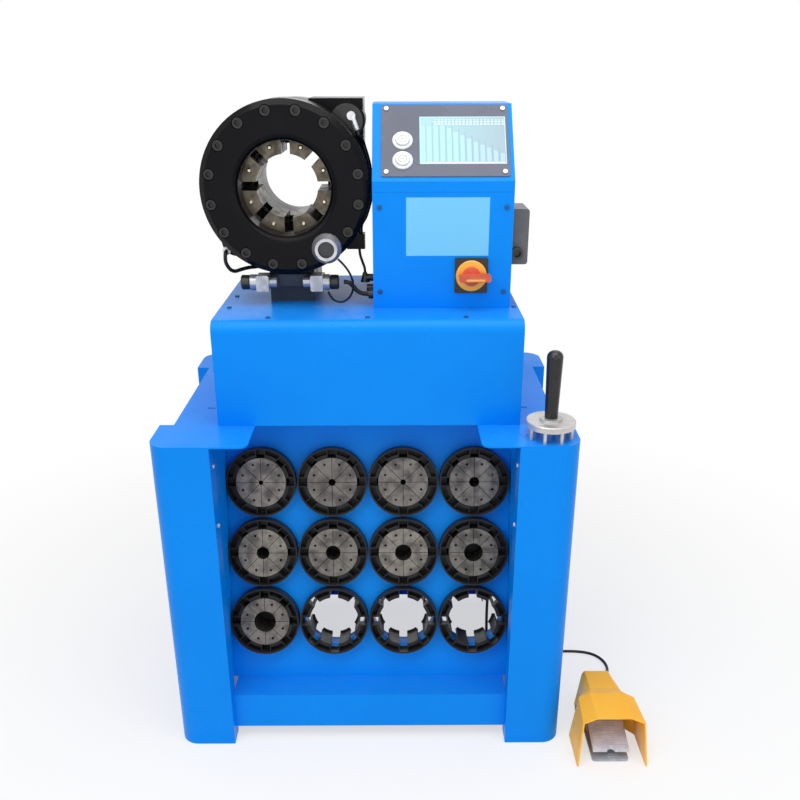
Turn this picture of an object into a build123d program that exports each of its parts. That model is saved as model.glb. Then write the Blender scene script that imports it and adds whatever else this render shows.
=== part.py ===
from build123d import *

import os
from math import cos, radians, sin, sqrt, tan

# Hose crimping machine: a bench with a die rack, a power pack housing, a ring-shaped crimping
# head, a control box, a die change tool and a foot pedal on its lead.
# X is to the right, Y to the rear, Z up, in millimetres. The origin is on the floor under the
# middle of the bench. A "setback" is a distance behind the front face of the bench posts.

# ---- clearances -----------------------------------------------------------------------
RUN_FIT = 0.05          # radial clearance of a shaft or piston in its bore
SLIDE_FIT = 0.1         # normal clearance between flats that slide on each other
LOOSE = 0.3             # a loose piece beside its seat
BOLT_PLAY = 0.5         # radial play of a bolt in a plain hole

# ---- bench ----------------------------------------------------------------------------
BENCH_W = 760.0
BENCH_D = 553.0
BENCH_H = 647.0
TOP_PLATE = 3.0
SHEET = 2.5
POST_W = 109.5
POST_D = 107.0
POST_CORNER = 36.0
POST_RETURN = 40.0      # depth of the post's inner return flange
POST_HOOK = 24.0        # flange at the back of the post, where the side panel lands
SIDE_INSET = 26.0
PANEL_FLANGE = 18.0
FLOOR_GAP = 27.0
WING_HALF_GAP = 204.0   # half the width of the cut-out between the bench top's wings
WING_CORNER = 16.0
TOP_OVERLAP = 15.0      # how far the power pack stands back over the cut-out's edge
TOP_SLOT = (14.0, 5.0)
TOP_SLOT_X = 301.0
TOP_SLOT_SETBACK = 194.0
RAIL_INSET = 20.0

# ---- die rack -------------------------------------------------------------------------
SKIRT_SETBACK = 20.4
LEDGE_Z = 103.3
LEDGE_SETBACK = 82.0    # where the tilted panel rises from the ledge
HEM = 14.0
RACK_TILT = 13.14       # degrees from the vertical, top to the rear
CHEEK_HALF = 278.0      # half the clear width between the rack's side cheeks
CHEEK_LAP = 273.0       # half width where a cheek laps the post's return flange
CHEEK_END = 226.0       # setback of the cheek's rear edge
RACK_COLUMNS = 4
RACK_ROWS = 3
COLUMN_PITCH = 138.6
ROW_PITCH = 142.2
RACK_CENTRE_X = -1.3
TOP_ROW_UP = 409.2      # from the ledge up the panel to the top row's axis
PANEL_HOLE_R = 62.5

# ---- die holders ----------------------------------------------------------------------
HOLDER_R = 68.0
HOLDER_RIM = 3.0
HOLDER_PROUD = 24.0
HOLDER_FLOOR = 3.0
HOLDER_RING_T = 6.5
HOLDER_RING_DEPTH = 20.0
HOLDER_SLOT = 16.0
HOLDER_RIB = 2.0
HOLDER_LAND = 1.5       # how far short of the panel's hole the slots end
FINGER_T = 2.9
FINGER_HOOK = 3.5
HOOK_T = 3.0

# ---- die sets -------------------------------------------------------------------------
DIE_R = 48.5
DIE_LEN = 60.0
DIE_RECESS = 2.0        # how far a die's face lies behind the holder's rim
DIE_KERF = 0.9
DIE_PIN_R = 38.0
DIE_PIN_HOLE_R = 2.6
DIE_PIN_HOLE_DEPTH = 12.0
DIE_BORES = (9.0, 14.0, 11.0, 20.0, 25.0, 29.0, 33.0, 37.0, 43.0)
SEGMENTS = 8

# ---- power pack -----------------------------------------------------------------------
PACK_LEFT = -271.5
PACK_RIGHT = 282.0
PACK_SETBACK = 101.0
PACK_DEPTH = 381.0
PACK_TOP = 841.6
PACK_BEND = 20.0
LOUVRES = 9
LOUVRE = (70.0, 5.0)
LOUVRE_PITCH = 14.0
RESERVOIR = (228.0, 300.0, 140.0)
RESERVOIR_X = -140.0
RESERVOIR_FLANGE = 8.0
RESERVOIR_LID = 4.0
FILLER_R = 20.0
MOTOR_R = 68.0
MOTOR_LEN = 210.0
MOTOR_X = 175.0
MOTOR_FEET_H = 90.0     # motor axis above the bench top
PUMP = (84.0, 62.0, 92.0)
VALVE_BLOCK = (70.0, 90.0, 100.0)
VALVE_X = 35.0
SOLENOID_R = 17.0

# ---- crimping head --------------------------------------------------------------------
HEAD_X = -141.0
HEAD_Z = 1055.0
HEAD_SETBACK = 195.0
RING_R = 150.0
RING_LEN = 84.0
RING_BEVEL = 10.0
RING_THROAT = 50.0      # depth of the plain bore, before the flats begin
THROAT_ROUND = 13.0
BODY_R = 146.0
CYLINDER_R = 118.0
BODY_END = 261.0        # depth of the body's rear face behind the ring's front face
CUP_R = 114.0           # the flats of ring and piston are cut no wider than this
BOLTS = 16
BOLT_CIRCLE_R = 133.0
BOLT_R = 6.0
BOLT_HEAD_R = 9.0
BOLT_HEAD_H = 11.0
BOLT_HEX_R = 5.6
BOLT_REACH = 106.0
COUNTERBORE_R = 10.5
COUNTERBORE_T = 12.0
REAR_BOLTS = 8
REAR_BOLT_CIRCLE_R = 129.0
COVER_R = 140.0
COVER_FLANGE = 14.0
COVER_PLUG = 15.0
TUBE_R = 76.0
TUBE_BORE_R = 67.0
TUBE_FRONT = 156.0
PISTON_FRONT = 126.0
PISTON_BACK = 235.0
SEAL_DEPTHS = (190.0, 212.0)
SEAL = (4.0, 8.0)

# ---- master dies ----------------------------------------------------------------------
MASTER_DIES = 8
MASTER_BORE_R = 56.0
MASTER_FACE_R = 84.0    # distance from the axis to the outer flat at both ends
MASTER_TOP_R = 106.0
MASTER_FRONT = 52.0
MASTER_LEN = 100.0
MASTER_GAP = 16.0       # between neighbouring dies, open
MASTER_CLOSING = 18.0   # radial stroke
MASTER_PIN_CIRCLE_R = 72.0
MASTER_PIN_R = 4.0
MASTER_PIN_OUT = 4.0
MASTER_PIN_IN = 14.0
SPRING_R = 5.0
SPRING_WALL = 1.5
SPRING_PLAY = 0.5
SPRING_CIRCLE_R = 92.0
SPRING_SEAT = 12.0

# ---- lugs, ports and fittings on the head, as (right of axis, above axis) ----------------
PORT_LUG = (109.0, 110.0)
PORT_LUG_R = 33.0
PORT_LUG_END = 150.0
PORT_FACE_R = 29.0
CORNER_BLOCK = (40.0, 138.0, 60.0, 147.0)
CORNER_BLOCK_ENDS = (100.0, 205.0)
BLEED_LUG = (-104.0, -104.0)
BLEED_LUG_R = 28.0
BLEED_LUG_END = 130.0
BLEED_PORT = (-118.0, -116.0)
LOWER_LUG = (104.0, 138.0, -120.0, -92.0)
LOWER_LUG_ENDS = (86.0, 112.0)
TUBE_D = 8.0
TUBE_OUT = 150.4        # the pressure tube's axis from the head's, at its widest
NUT_R = 7.5
PORT_ELBOW = (118.0, 119.0)
ELBOW_DEPTH = 68.0
ELBOW_DROP = 70.0       # degrees below the horizontal
ELBOW_REACH = 26.0

# ---- pedestal, sensors and lamp ---------------------------------------------------------
PEDESTAL_W = 84.0
PEDESTAL_SETBACK = 258.0
PEDESTAL_END = 440.0
SENSOR_BAR = (62.0, 18.0, 22.0)     # half width, depth, height
SENSOR_BAR_Z = 874.0
SENSOR_X = 50.0
SENSOR_Z = 885.0
SENSOR_BLOCK = (23.0, 30.0, 29.0)
LAMP_AT = (72.4, -101.5)
LAMP_R = 26.5
LAMP_FACE_R = 20.0
LAMP_LENS_R = 14.5
LAMP_OUT = 22.0

# ---- control box ------------------------------------------------------------------------
BOX_LEFT = 13.7
BOX_RIGHT = 265.6
BOX_SETBACK = 200.0
BOX_REAR = 420.0
BOX_WALL = 2.0
CREASE_Z = 1067.8
SEAM_Z = 1049.6
CONSOLE_TOP_Z = 1192.0
CONSOLE_TOP_SETBACK = 305.3
CONSOLE = (227.6, 150.0)
CONSOLE_AT = (4.0, 84.0)            # centre, right of the box's middle and up the slope
CONSOLE_T = 2.0
SCREEN = (154.0, 99.0)
SCREEN_AT = (35.6, 83.6)
SCREEN_T = 7.0
BUTTON_U = -71.8
BUTTON_V = (82.3, 41.2)
BUTTON_R = 12.5
BUTTON_COLLAR_R = 18.0
BUTTON_COLLAR_H = 2.0
BUTTON_PROUD = 4.5
BUTTON_DEEP = 8.0
BUTTON_TRAVEL = 3.0
COVER_MARGIN = 12.5
SWITCH_AT = (192.5, 902.0)
SWITCH_PLATE = (60.0, 64.0, 4.0)
SWITCH_RING_R = 28.0
SWITCH_RING_T = 4.0
SWITCH_SHAFT_R = 4.0
SWITCH_HUB_R = 17.0
SWITCH_HUB_T = 7.0
SWITCH_GRIP = (46.0, 13.0, 16.0)
SWITCH_LUG = 34.0
JUNCTION = (32.4, 77.0, 100.0)
JUNCTION_SETBACK = 228.0
JUNCTION_Z = 916.0
JUNCTION_BASE = 15.4

# ---- die change tool --------------------------------------------------------------------
TOOL_X = 328.0
TOOL_SETBACK = 46.5
TOOL_R = 44.0
TOOL_T = 11.0
TOOL_HUB_R = 20.0
TOOL_HUB_T = 4.0
TOOL_LIFT = 21.0        # the disc's underside above the bench top
TOOL_PINS = 8
TOOL_PIN_R = 3.6
TOOL_TIP_R = 2.3
TOOL_TIP = 9.0
GRIP_LEN = 122.0
GRIP_R = (11.5, 14.5)

# ---- foot pedal, in its own frame: origin under the middle of the base's front edge --------
PEDAL_X = 471.5
PEDAL_SETBACK = -54.5
PEDAL_W = 71.0
PEDAL_PLATE = 5.0
PEDAL_LEN = 165.0
PEDAL_BLOCK = (102.0, 29.0, 50.0)   # where the rear block begins, its half width and height
PEDAL_BOOT = (22.0, 6.0, 10.0, 30.0)    # right of the middle, radius, reach past the hood, height
TREADLE_FRONT = (4.0, 27.0)         # distance back and height of the tread's front edge
TREADLE_BACK = (84.0, 50.0)
TREADLE_T = 7.0
TREADLE_RIBS = 14
TREADLE_RIB = (3.0, 1.6)
TREADLE_NOTCH_R = 8.0
PEDAL_PIVOT = (92.0, 34.0)
PEDAL_PIN_R = 4.0
PEDAL_EAR = 6.0
GUARD_WALL = 3.0
# station back from the base's front edge, then half widths and heights: foot, shoulder, top
GUARD_STATIONS = (
    (-14.0, 68.0, 62.0, 92.0, 34.0, 104.0),
    (76.0, 68.0, 55.0, 94.0, 34.0, 104.0),
    (104.0, 42.0, 37.0, 86.0, 27.0, 94.0),
    (172.0, 39.5, 29.0, 78.0, 24.0, 85.0),
)
GUARD_BOLT_R = 3.0
GUARD_BOLT_X = 40.2     # the side bolts' heads from the middle
GUARD_RAKE = 9.0        # degrees that the hood's front edge leans back

# ---- leads ------------------------------------------------------------------------------
CORD_D = 6.5
CORNER_SHARE = 0.45     # share of the shorter run that a bend's tangent takes
COIL_AT = (226.0, -22.0)
COIL_R = 36.0
COIL_LAYERS = 2
COIL_ABREAST = 2
GLAND_R = 9.0
GLAND_LEN = 20.0
PEDAL_CORD_DROP = (
    (262, 50, 624), (262, 50, 560), (264, 49, 475), (267, 48, 390), (268, 48, 305), (266, 49, 225),
    (263, 50, 155), (262, 50, 108), (262, 47, 72), (262, 38, 48), (262, 23, 28), (262, 1, 18),
    (262, -22, 16.6),
)
PEDAL_CORD_FLOOR = (
    (249, 17.3, 3.5), (288, 19, 3.5), (330, 17.5, 3.5), (372, 17, 3.5), (412, 19.5, 3.5),
    (450, 22, 3.5), (485, 19, 3.5), (510, 8, 3.5), (525, -14, 3.5), (529, -40, 4),
    (522, -67, 8), (511, -87, 16), (500, -106, 25), (493.5, -127, 30), (493.5, -149, 30),
)
LAMP_CABLE_D = 4.0
LAMP_CABLE = (
    (-48.8, -90, 934.9), (-38, -90, 924.7), (-27, -86, 907), (-22, -77, 886), (-26, -66, 865),
    (-40, -60, 849), (-57, -61, 850), (-66, -65, 860), (-70, -66, 870.5),
)
BOOT_CABLE_D = 5.0
BOOT_CABLE = (
    (-14, 18, 935), (-14, 18, 924), (-9, 14, 910), (-4, 10, 898), (-4, 10, 890),
)
SENSOR_CABLE_D = 8.0
SENSOR_CABLE = (
    (-41.5, -51.5, 885), (-31, -51.5, 885), (-24, -50, 876), (-16, -50, 866), (-5, -50, 862),
    (4, -50, 862),
)

FRONT = -BENCH_D / 2
HALF_W = BENCH_W / 2
MIN3 = (Align.MIN, Align.MIN, Align.MIN)
STAND = (Align.CENTER, Align.CENTER, Align.MIN)


def at(setback):
    """The Y of a place that far behind the bench's front face."""
    return FRONT + setback


def block(x0, x1, y0, y1, z0, z1):
    """A box between two corners."""
    return Pos(x0, y0, z0) * Box(x1 - x0, y1 - y0, z1 - z0, align=MIN3)


def rod_x(radius, x0, x1, y, z):
    """A cylinder along X."""
    return Pos(x0, y, z) * Rot(0, 90, 0) * Cylinder(radius, x1 - x0, align=STAND)


def rod_y(radius, y0, y1, x, z):
    """A cylinder along Y."""
    return Pos(x, y0, z) * Rot(-90, 0, 0) * Cylinder(radius, y1 - y0, align=STAND)


def prism_x(points, x0, x1):
    """A prism along X on an outline of (y, z) points."""
    face = make_face(Polyline(*[(0, y, z) for y, z in points], close=True))
    return Pos(x0, 0, 0) * extrude(face, amount=x1 - x0, dir=(1, 0, 0))


def folded_strip(centre, thickness):
    """The outline of sheet bent along a line of (x, y) points, which is its middle."""
    return make_face(offset(Polyline(*centre), amount=thickness / 2, kind=Kind.INTERSECTION))


def corner_radii(points):
    """The largest bend at each corner of a lead's route that its two runs leave room for."""
    radii = []
    for before, corner, after in zip(points, points[1:], points[2:]):
        run_in = corner - before
        run_out = after - corner
        turn = radians(run_in.get_angle(run_out))
        radii.append(CORNER_SHARE * min(run_in.length, run_out.length) / tan(turn / 2))
    return radii


def lead(route, diameter):
    """A lead's tube: straight runs joined by tangent arcs."""
    points = [Vector(*p) for p in route]
    radii = corner_radii(points)
    print("lead of", diameter, "tightest bend", round(min(radii), 1))
    path = FilletPolyline(*points, radius=radii)
    section = Plane(origin=path @ 0, z_dir=path % 0) * Circle(diameter / 2)
    return sweep(section, path=path)


# ---- bench ------------------------------------------------------------------------------

def post_outline(side, end):
    """The folded section of a corner post. side is -1 at the left, end is -1 at the front."""
    outer_x = side * HALF_W
    outer_y = end * BENCH_D / 2
    inner_x = side * (HALF_W - POST_W)
    back_y = end * (BENCH_D / 2 - POST_D)
    outline = Polyline(
        (inner_x, outer_y - end * POST_RETURN),
        (inner_x, outer_y),
        (outer_x, outer_y),
        (outer_x, back_y),
        (outer_x - side * POST_HOOK, back_y),
        (outer_x - side * POST_HOOK, back_y + end * SHEET),
        (outer_x - side * SHEET, back_y + end * SHEET),
        (outer_x - side * SHEET, outer_y - end * SHEET),
        (inner_x + side * SHEET, outer_y - end * SHEET),
        (inner_x + side * SHEET, outer_y - end * POST_RETURN),
        close=True,
    )
    face = make_face(outline)
    corners = face.vertices().sort_by(lambda v: v.X * side + v.Y * end)
    face = fillet(corners[-1], POST_CORNER)
    inside = face.vertices().sort_by_distance(
        (outer_x - side * SHEET, outer_y - end * SHEET, 0)
    )[0]
    return fillet(inside, POST_CORNER - SHEET)


def post(side, end):
    """A corner post of folded sheet."""
    return extrude(post_outline(side, end), BENCH_H - TOP_PLATE)


def post_screw_places():
    """Where the screws of the posts' return flanges sit, as (side, setback, height)."""
    return [(side, 26.0, z) for side in (-1, 1) for z in (600.0, 481.0)]


def pan_screw(head_r, head_h, shank_r, reach):
    """A pan head screw, its head standing on z = 0 and its shank below."""
    head = Cylinder(head_r, head_h, align=STAND)
    head = fillet(head.edges().group_by(Axis.Z)[-1], head_h * 0.45)
    slot = Pos(0, 0, head_h * 0.6) * Box(head_r * 1.2, head_r * 0.3, head_h, align=STAND)
    shank = Pos(0, 0, -reach) * Cylinder(shank_r, reach, align=STAND)
    return head - slot + shank


def tool_pin_places():
    """The die change tool's pins on their circle, as (x, y)."""
    turn = 360 / TOOL_PINS
    angles = [radians(turn * (i + 0.5)) for i in range(TOOL_PINS)]
    return [
        (TOOL_X + DIE_PIN_R * cos(a), at(TOOL_SETBACK) + DIE_PIN_R * sin(a)) for a in angles
    ]


def bench_top():
    """The top plate: posts' outline at the corners, let in at the sides, open at the front."""
    plate = extrude(RectangleRounded(BENCH_W, BENCH_D, POST_CORNER), TOP_PLATE)
    let_in = BENCH_D - 2 * POST_D
    for side in (-1, 1):
        plate -= Pos(side * HALF_W, 0, 0) * Box(2 * SIDE_INSET, let_in, 4 * TOP_PLATE)
        slot = Pos(side * TOP_SLOT_X, at(TOP_SLOT_SETBACK), 0)
        plate -= slot * Box(TOP_SLOT[0], TOP_SLOT[1], 4 * TOP_PLATE)
    depth = PACK_SETBACK + TOP_OVERLAP
    plate -= Pos(0, FRONT, 0) * Box(2 * WING_HALF_GAP, 2 * depth, 4 * TOP_PLATE)
    tips = plate.edges().filter_by(Axis.Z).filter_by(
        lambda e: abs(abs(e.center().X) - WING_HALF_GAP) < 1 and e.center().Y < FRONT + 1
    )
    plate = Pos(0, 0, BENCH_H - TOP_PLATE) * fillet(tips, WING_CORNER)
    for x, y in tool_pin_places():
        plate -= Pos(x, y, BENCH_H) * Cylinder(TOOL_TIP_R + RUN_FIT, 4 * TOP_PLATE)
    cord_x, cord_y = PEDAL_CORD_DROP[0][:2]
    return plate - Pos(cord_x, cord_y, BENCH_H) * Cylinder(GLAND_R * 0.7, 4 * TOP_PLATE)


def side_panel(side):
    """A side panel let in between the posts, with a flange on each post."""
    outer = HALF_W - SIDE_INSET
    reach = BENCH_D / 2 - POST_D
    centre = [
        (side * (outer - PANEL_FLANGE), -reach + SHEET / 2),
        (side * (outer - SHEET / 2), -reach + SHEET / 2),
        (side * (outer - SHEET / 2), reach - SHEET / 2),
        (side * (outer - PANEL_FLANGE), reach - SHEET / 2),
    ]
    height = BENCH_H - TOP_PLATE - FLOOR_GAP
    return Pos(0, 0, FLOOR_GAP) * extrude(folded_strip(centre, SHEET), height)


def rack_cheek(side):
    """A side wall of the die rack, stepped so that its front edge laps the post's flange."""
    lap = CHEEK_LAP + SHEET / 2
    wall = CHEEK_HALF + SHEET / 2
    step = CHEEK_HALF - CHEEK_LAP
    centre = [
        (side * lap, at(2 * SHEET)),
        (side * lap, at(POST_RETURN)),
        (side * wall, at(POST_RETURN + step)),
        (side * wall, at(CHEEK_END)),
    ]
    height = BENCH_H - TOP_PLATE - FLOOR_GAP
    return Pos(0, 0, FLOOR_GAP) * extrude(folded_strip(centre, SHEET), height)


def rear_rail():
    """The channel that ties the rear posts together near the floor."""
    rear = BENCH_D / 2 - RAIL_INSET
    half = HALF_W - POST_W
    web = block(-half, half, rear - SHEET, rear, FLOOR_GAP, LEDGE_Z)
    for z in (FLOOR_GAP, LEDGE_Z - SHEET):
        web += block(-half, half, rear - HEM * 2, rear, z, z + SHEET)
    return web


# ---- die rack ---------------------------------------------------------------------------

TILT = radians(RACK_TILT)
RACK = Plane(
    origin=(0, at(LEDGE_SETBACK), LEDGE_Z), x_dir=(1, 0, 0), z_dir=(0, -cos(TILT), sin(TILT))
)


def rack_places():
    """The axes of the holders on the rack's plane, row by row from the top."""
    return [
        (RACK_CENTRE_X + (column - (RACK_COLUMNS - 1) / 2) * COLUMN_PITCH,
         TOP_ROW_UP - row * ROW_PITCH)
        for row in range(RACK_ROWS)
        for column in range(RACK_COLUMNS)
    ]


def rack_panel():
    """The rack's sheet: a hemmed skirt, a ledge and the tilted panel with the holders' holes."""
    half = HALF_W - POST_W
    skirt = block(-half, half, at(SKIRT_SETBACK), at(SKIRT_SETBACK + SHEET), FLOOR_GAP, LEDGE_Z)
    hem = block(
        -half, half, at(SKIRT_SETBACK), at(SKIRT_SETBACK + HEM), FLOOR_GAP, FLOOR_GAP + SHEET
    )
    ledge_back = at(LEDGE_SETBACK) + SHEET / cos(TILT)
    ledge = block(-half, half, at(SKIRT_SETBACK), ledge_back, LEDGE_Z - SHEET, LEDGE_Z)
    rise = (BENCH_H - TOP_PLATE - LEDGE_Z) / cos(TILT) + 2 * SHEET
    sheet = RACK * block(-CHEEK_HALF, CHEEK_HALF, 0, rise, -SHEET, 0)
    for x, up in rack_places():
        sheet -= RACK * Pos(x, up, 0) * Cylinder(PANEL_HOLE_R, 4 * SHEET)
    above = block(-HALF_W, HALF_W, FRONT, -FRONT, BENCH_H - TOP_PLATE, BENCH_H + 4 * SHEET)
    below = block(-HALF_W, HALF_W, FRONT, -FRONT, 0, LEDGE_Z)
    return skirt + hem + ledge + (sheet - above - below)


def sector_angles():
    """The middles of the eight sectors of a holder or die set."""
    return [(i + 0.5) * 360 / SEGMENTS for i in range(SEGMENTS)]


def holder():
    """A moulded die holder: rim, floor, ribbed inner ring, and a barrel split into fingers.

    Eight slots run through the ring and the barrel, and each finger ends in a hook.
    """
    seat = DIE_R + LOOSE
    tail = DIE_LEN - (HOLDER_PROUD - DIE_RECESS) + LOOSE
    ring_outer = seat + HOLDER_RING_T
    rim = Cylinder(HOLDER_R, HOLDER_PROUD, align=STAND)
    rim -= Pos(0, 0, HOLDER_FLOOR) * Cylinder(HOLDER_R - HOLDER_RIM, HOLDER_PROUD, align=STAND)
    barrel = Pos(0, 0, -tail - HOOK_T) * Cylinder(seat + FINGER_T, tail + HOOK_T, align=STAND)
    body = rim + Cylinder(ring_outer, HOLDER_RING_DEPTH, align=STAND) + barrel
    body -= Pos(0, 0, -tail) * Cylinder(seat, 2 * tail + HOLDER_PROUD, align=STAND)
    body -= Cylinder(seat - FINGER_HOOK, 4 * DIE_LEN)
    reach = PANEL_HOLE_R - HOLDER_LAND
    rib_reach = HOLDER_R - HOLDER_RIM / 2 - ring_outer + HOLDER_RIB
    for i in range(SEGMENTS):
        turn = Rot(0, 0, i * 360 / SEGMENTS)
        body -= turn * block(0, reach, -HOLDER_SLOT / 2, HOLDER_SLOT / 2, -2 * DIE_LEN, 2 * DIE_LEN)
        for side in (-1, 1):
            rib = Pos(ring_outer - HOLDER_RIB, side * (HOLDER_SLOT + HOLDER_RIB) / 2, 0)
            body += turn * rib * Box(
                rib_reach, HOLDER_RIB, HOLDER_RING_DEPTH, align=(Align.MIN, Align.CENTER, Align.MIN)
            )
    return body


def die_set(bore):
    """Eight loose steel die segments that close to a bore, each with its tool hole."""
    front = HOLDER_PROUD - DIE_RECESS
    blank = Pos(0, 0, front - DIE_LEN) * Cylinder(DIE_R, DIE_LEN, align=STAND)
    blank -= Pos(0, 0, front - DIE_LEN) * Cylinder(bore / 2, 2 * DIE_LEN)
    blank -= Pos(0, 0, front) * Cylinder(bore / 2, 4 * DIE_LEN)
    for i in range(SEGMENTS // 2):
        kerf = Rot(0, 0, i * 360 / SEGMENTS) * Box(3 * DIE_R, DIE_KERF, 4 * DIE_LEN)
        blank -= kerf
    for angle in sector_angles():
        hole = Pos(DIE_PIN_R, 0, front - DIE_PIN_HOLE_DEPTH) * Cylinder(
            DIE_PIN_HOLE_R, 2 * DIE_PIN_HOLE_DEPTH, align=STAND
        )
        blank -= Rot(0, 0, angle) * hole
    return blank


# ---- power pack -------------------------------------------------------------------------

def pack_housing():
    """The power pack's folded housing: front, top and sides, open below and at the rear."""
    y0 = at(PACK_SETBACK)
    y1 = y0 + PACK_DEPTH
    shell = block(PACK_LEFT, PACK_RIGHT, y0, y1, BENCH_H, PACK_TOP)
    nose = shell.edges().filter_by(Axis.X).sort_by(lambda e: e.center().Z - e.center().Y)[-1]
    shell = fillet(nose, PACK_BEND)
    room = block(
        PACK_LEFT + SHEET, PACK_RIGHT - SHEET, y0 + SHEET, y1 + SHEET, BENCH_H - 1, PACK_TOP - SHEET
    )
    corner = room.edges().filter_by(Axis.X).sort_by(lambda e: e.center().Z - e.center().Y)[-1]
    return shell - fillet(corner, PACK_BEND - SHEET)


def pack_rear():
    """The power pack's rear cover, with air slots over the motor."""
    y1 = at(PACK_SETBACK) + PACK_DEPTH
    plate = block(
        PACK_LEFT + SHEET, PACK_RIGHT - SHEET, y1 - SHEET, y1, BENCH_H, PACK_TOP - SHEET
    )
    middle = (BENCH_H + PACK_TOP) / 2
    for i in range(LOUVRES):
        z = middle + (i - (LOUVRES - 1) / 2) * LOUVRE_PITCH
        plate -= Pos(MOTOR_X, y1, z) * Box(LOUVRE[0], 4 * SHEET, LOUVRE[1])
    return plate


def reservoir():
    """The oil reservoir, an open box with a flange, and its lid with the filler neck."""
    width, depth, height = RESERVOIR
    back = at(PACK_SETBACK) + PACK_DEPTH - SHEET - HEM
    x0 = RESERVOIR_X - width / 2
    tub = block(x0, x0 + width, back - depth, back, BENCH_H, BENCH_H + height)
    lip = RESERVOIR_FLANGE
    tub += block(
        x0 - lip, x0 + width + lip, back - depth - lip, back + lip,
        BENCH_H + height - SHEET, BENCH_H + height,
    )
    tub -= block(
        x0 + SHEET, x0 + width - SHEET, back - depth + SHEET, back - SHEET,
        BENCH_H + SHEET, BENCH_H + 2 * height,
    )
    lid_z = BENCH_H + height
    lid = block(
        x0 - lip, x0 + width + lip, back - depth - lip, back + lip, lid_z, lid_z + RESERVOIR_LID
    )
    neck = Pos(x0 + width - 2 * FILLER_R, back - 2 * FILLER_R, lid_z)
    lid += neck * Cylinder(FILLER_R, 4 * RESERVOIR_LID, align=STAND)
    return tub, lid


def motor_rear():
    """The Y of the motor's rear end."""
    return at(PACK_SETBACK) + PACK_DEPTH - SHEET - 2 * HEM


def motor():
    """The pump motor: ribbed barrel, fan cowl, feet and terminal box."""
    back = motor_rear()
    z = BENCH_H + MOTOR_FEET_H
    barrel = rod_y(MOTOR_R, back - MOTOR_LEN, back - 2 * HEM, MOTOR_X, z)
    for i in range(SEGMENTS * 2):
        rib = Pos(MOTOR_X, 0, z) * Rot(0, i * 180 / SEGMENTS, 0) * block(
            MOTOR_R - 2, MOTOR_R + 5, back - MOTOR_LEN + HEM, back - 3 * HEM, -1.5, 1.5
        )
        barrel += rib
    barrel += rod_y(MOTOR_R + 6, back - 3 * HEM, back, MOTOR_X, z)
    foot_y = back - MOTOR_LEN + 2 * HEM
    feet = block(MOTOR_X - MOTOR_R, MOTOR_X + MOTOR_R, foot_y, back - 4 * HEM, BENCH_H, BENCH_H + 12)
    web = block(MOTOR_X - 40, MOTOR_X + 40, foot_y, back - 4 * HEM, BENCH_H, z - MOTOR_R + 8)
    box = block(MOTOR_X - 38, MOTOR_X + 38, foot_y, foot_y + 90, z + MOTOR_R - 12, z + MOTOR_R + 22)
    return barrel + feet + web + box


def pump_and_valves():
    """The gear pump on the motor's nose, and the valve block with its two solenoids."""
    nose = motor_rear() - MOTOR_LEN
    z = BENCH_H + MOTOR_FEET_H
    width, depth, height = PUMP
    bell = rod_y(MOTOR_R * 0.8, nose - HEM, nose, MOTOR_X, z)
    pump = bell + block(
        MOTOR_X - width / 2, MOTOR_X + width / 2, nose - HEM - depth, nose - HEM,
        z - height / 2, z + height / 2,
    )
    width, depth, height = VALVE_BLOCK
    y = nose - HEM - PUMP[1]
    valves = block(VALVE_X - width / 2, VALVE_X + width / 2, y, y + depth, BENCH_H, BENCH_H + height)
    for step in (-1, 1):
        solenoid = Pos(VALVE_X, y + depth / 2 + step * (SOLENOID_R + 4), BENCH_H + height)
        valves += solenoid * Cylinder(SOLENOID_R, height / 2, align=STAND)
    pipe = rod_x(TUBE_D, VALVE_X + width / 2, MOTOR_X - PUMP[0] / 2, y + depth / 3, z)
    suction = rod_x(
        TUBE_D, RESERVOIR_X + RESERVOIR[0] / 2, VALVE_X - width / 2, y + depth / 3, BENCH_H + 40
    )
    return valves + pipe + suction, pump


# ---- crimping head ----------------------------------------------------------------------

HEAD = Plane(origin=(HEAD_X, at(HEAD_SETBACK), HEAD_Z), x_dir=(1, 0, 0), z_dir=(0, -1, 0))


def disc(radius, front, back, x=0.0, up=0.0):
    """A disc on the head's axis between two depths behind the ring's front face."""
    return Pos(x, up, -back) * Cylinder(radius, back - front, align=STAND)


def eight_flats(front, front_r, back, back_r):
    """A tapering eight-sided bore between two depths, with rounded-off corners."""
    sections = [
        Pos(0, 0, -depth) * RegularPolygon(radius, MASTER_DIES, major_radius=False)
        for depth, radius in ((front, front_r), (back, back_r))
    ]
    return loft(sections, ruled=True) & disc(CUP_R, front, back)


def flat_play():
    """The sliding clearance of the oblique flats, measured along the radius."""
    return SLIDE_FIT * sqrt(2)


def ring_throat_r():
    """The radius of the ring's plain bore, which the flats behind it run into."""
    return MASTER_FACE_R - (MASTER_FRONT - RING_THROAT) + flat_play()


def piston_cup():
    """The depth at which the piston's flats run into its bore."""
    flat_end = MASTER_FRONT + MASTER_LEN
    return flat_end + MASTER_FACE_R + flat_play() - (TUBE_R + RUN_FIT)


def oblique_path(radius, depth, way):
    """What enters a round bore at a depth as a die slides in at 45 degrees, way 1 from behind."""
    mouth = Pos(0, 0, -depth) * Circle(radius - flat_play() / 2)
    return extrude(mouth, 2 * (MASTER_LEN + MASTER_FRONT), dir=(1, 0, -way))


def bolt_angles(count):
    """Bolt places round a circle, as far as possible from the two axes."""
    return [(i + 0.5) * 360 / count for i in range(count)]


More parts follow.
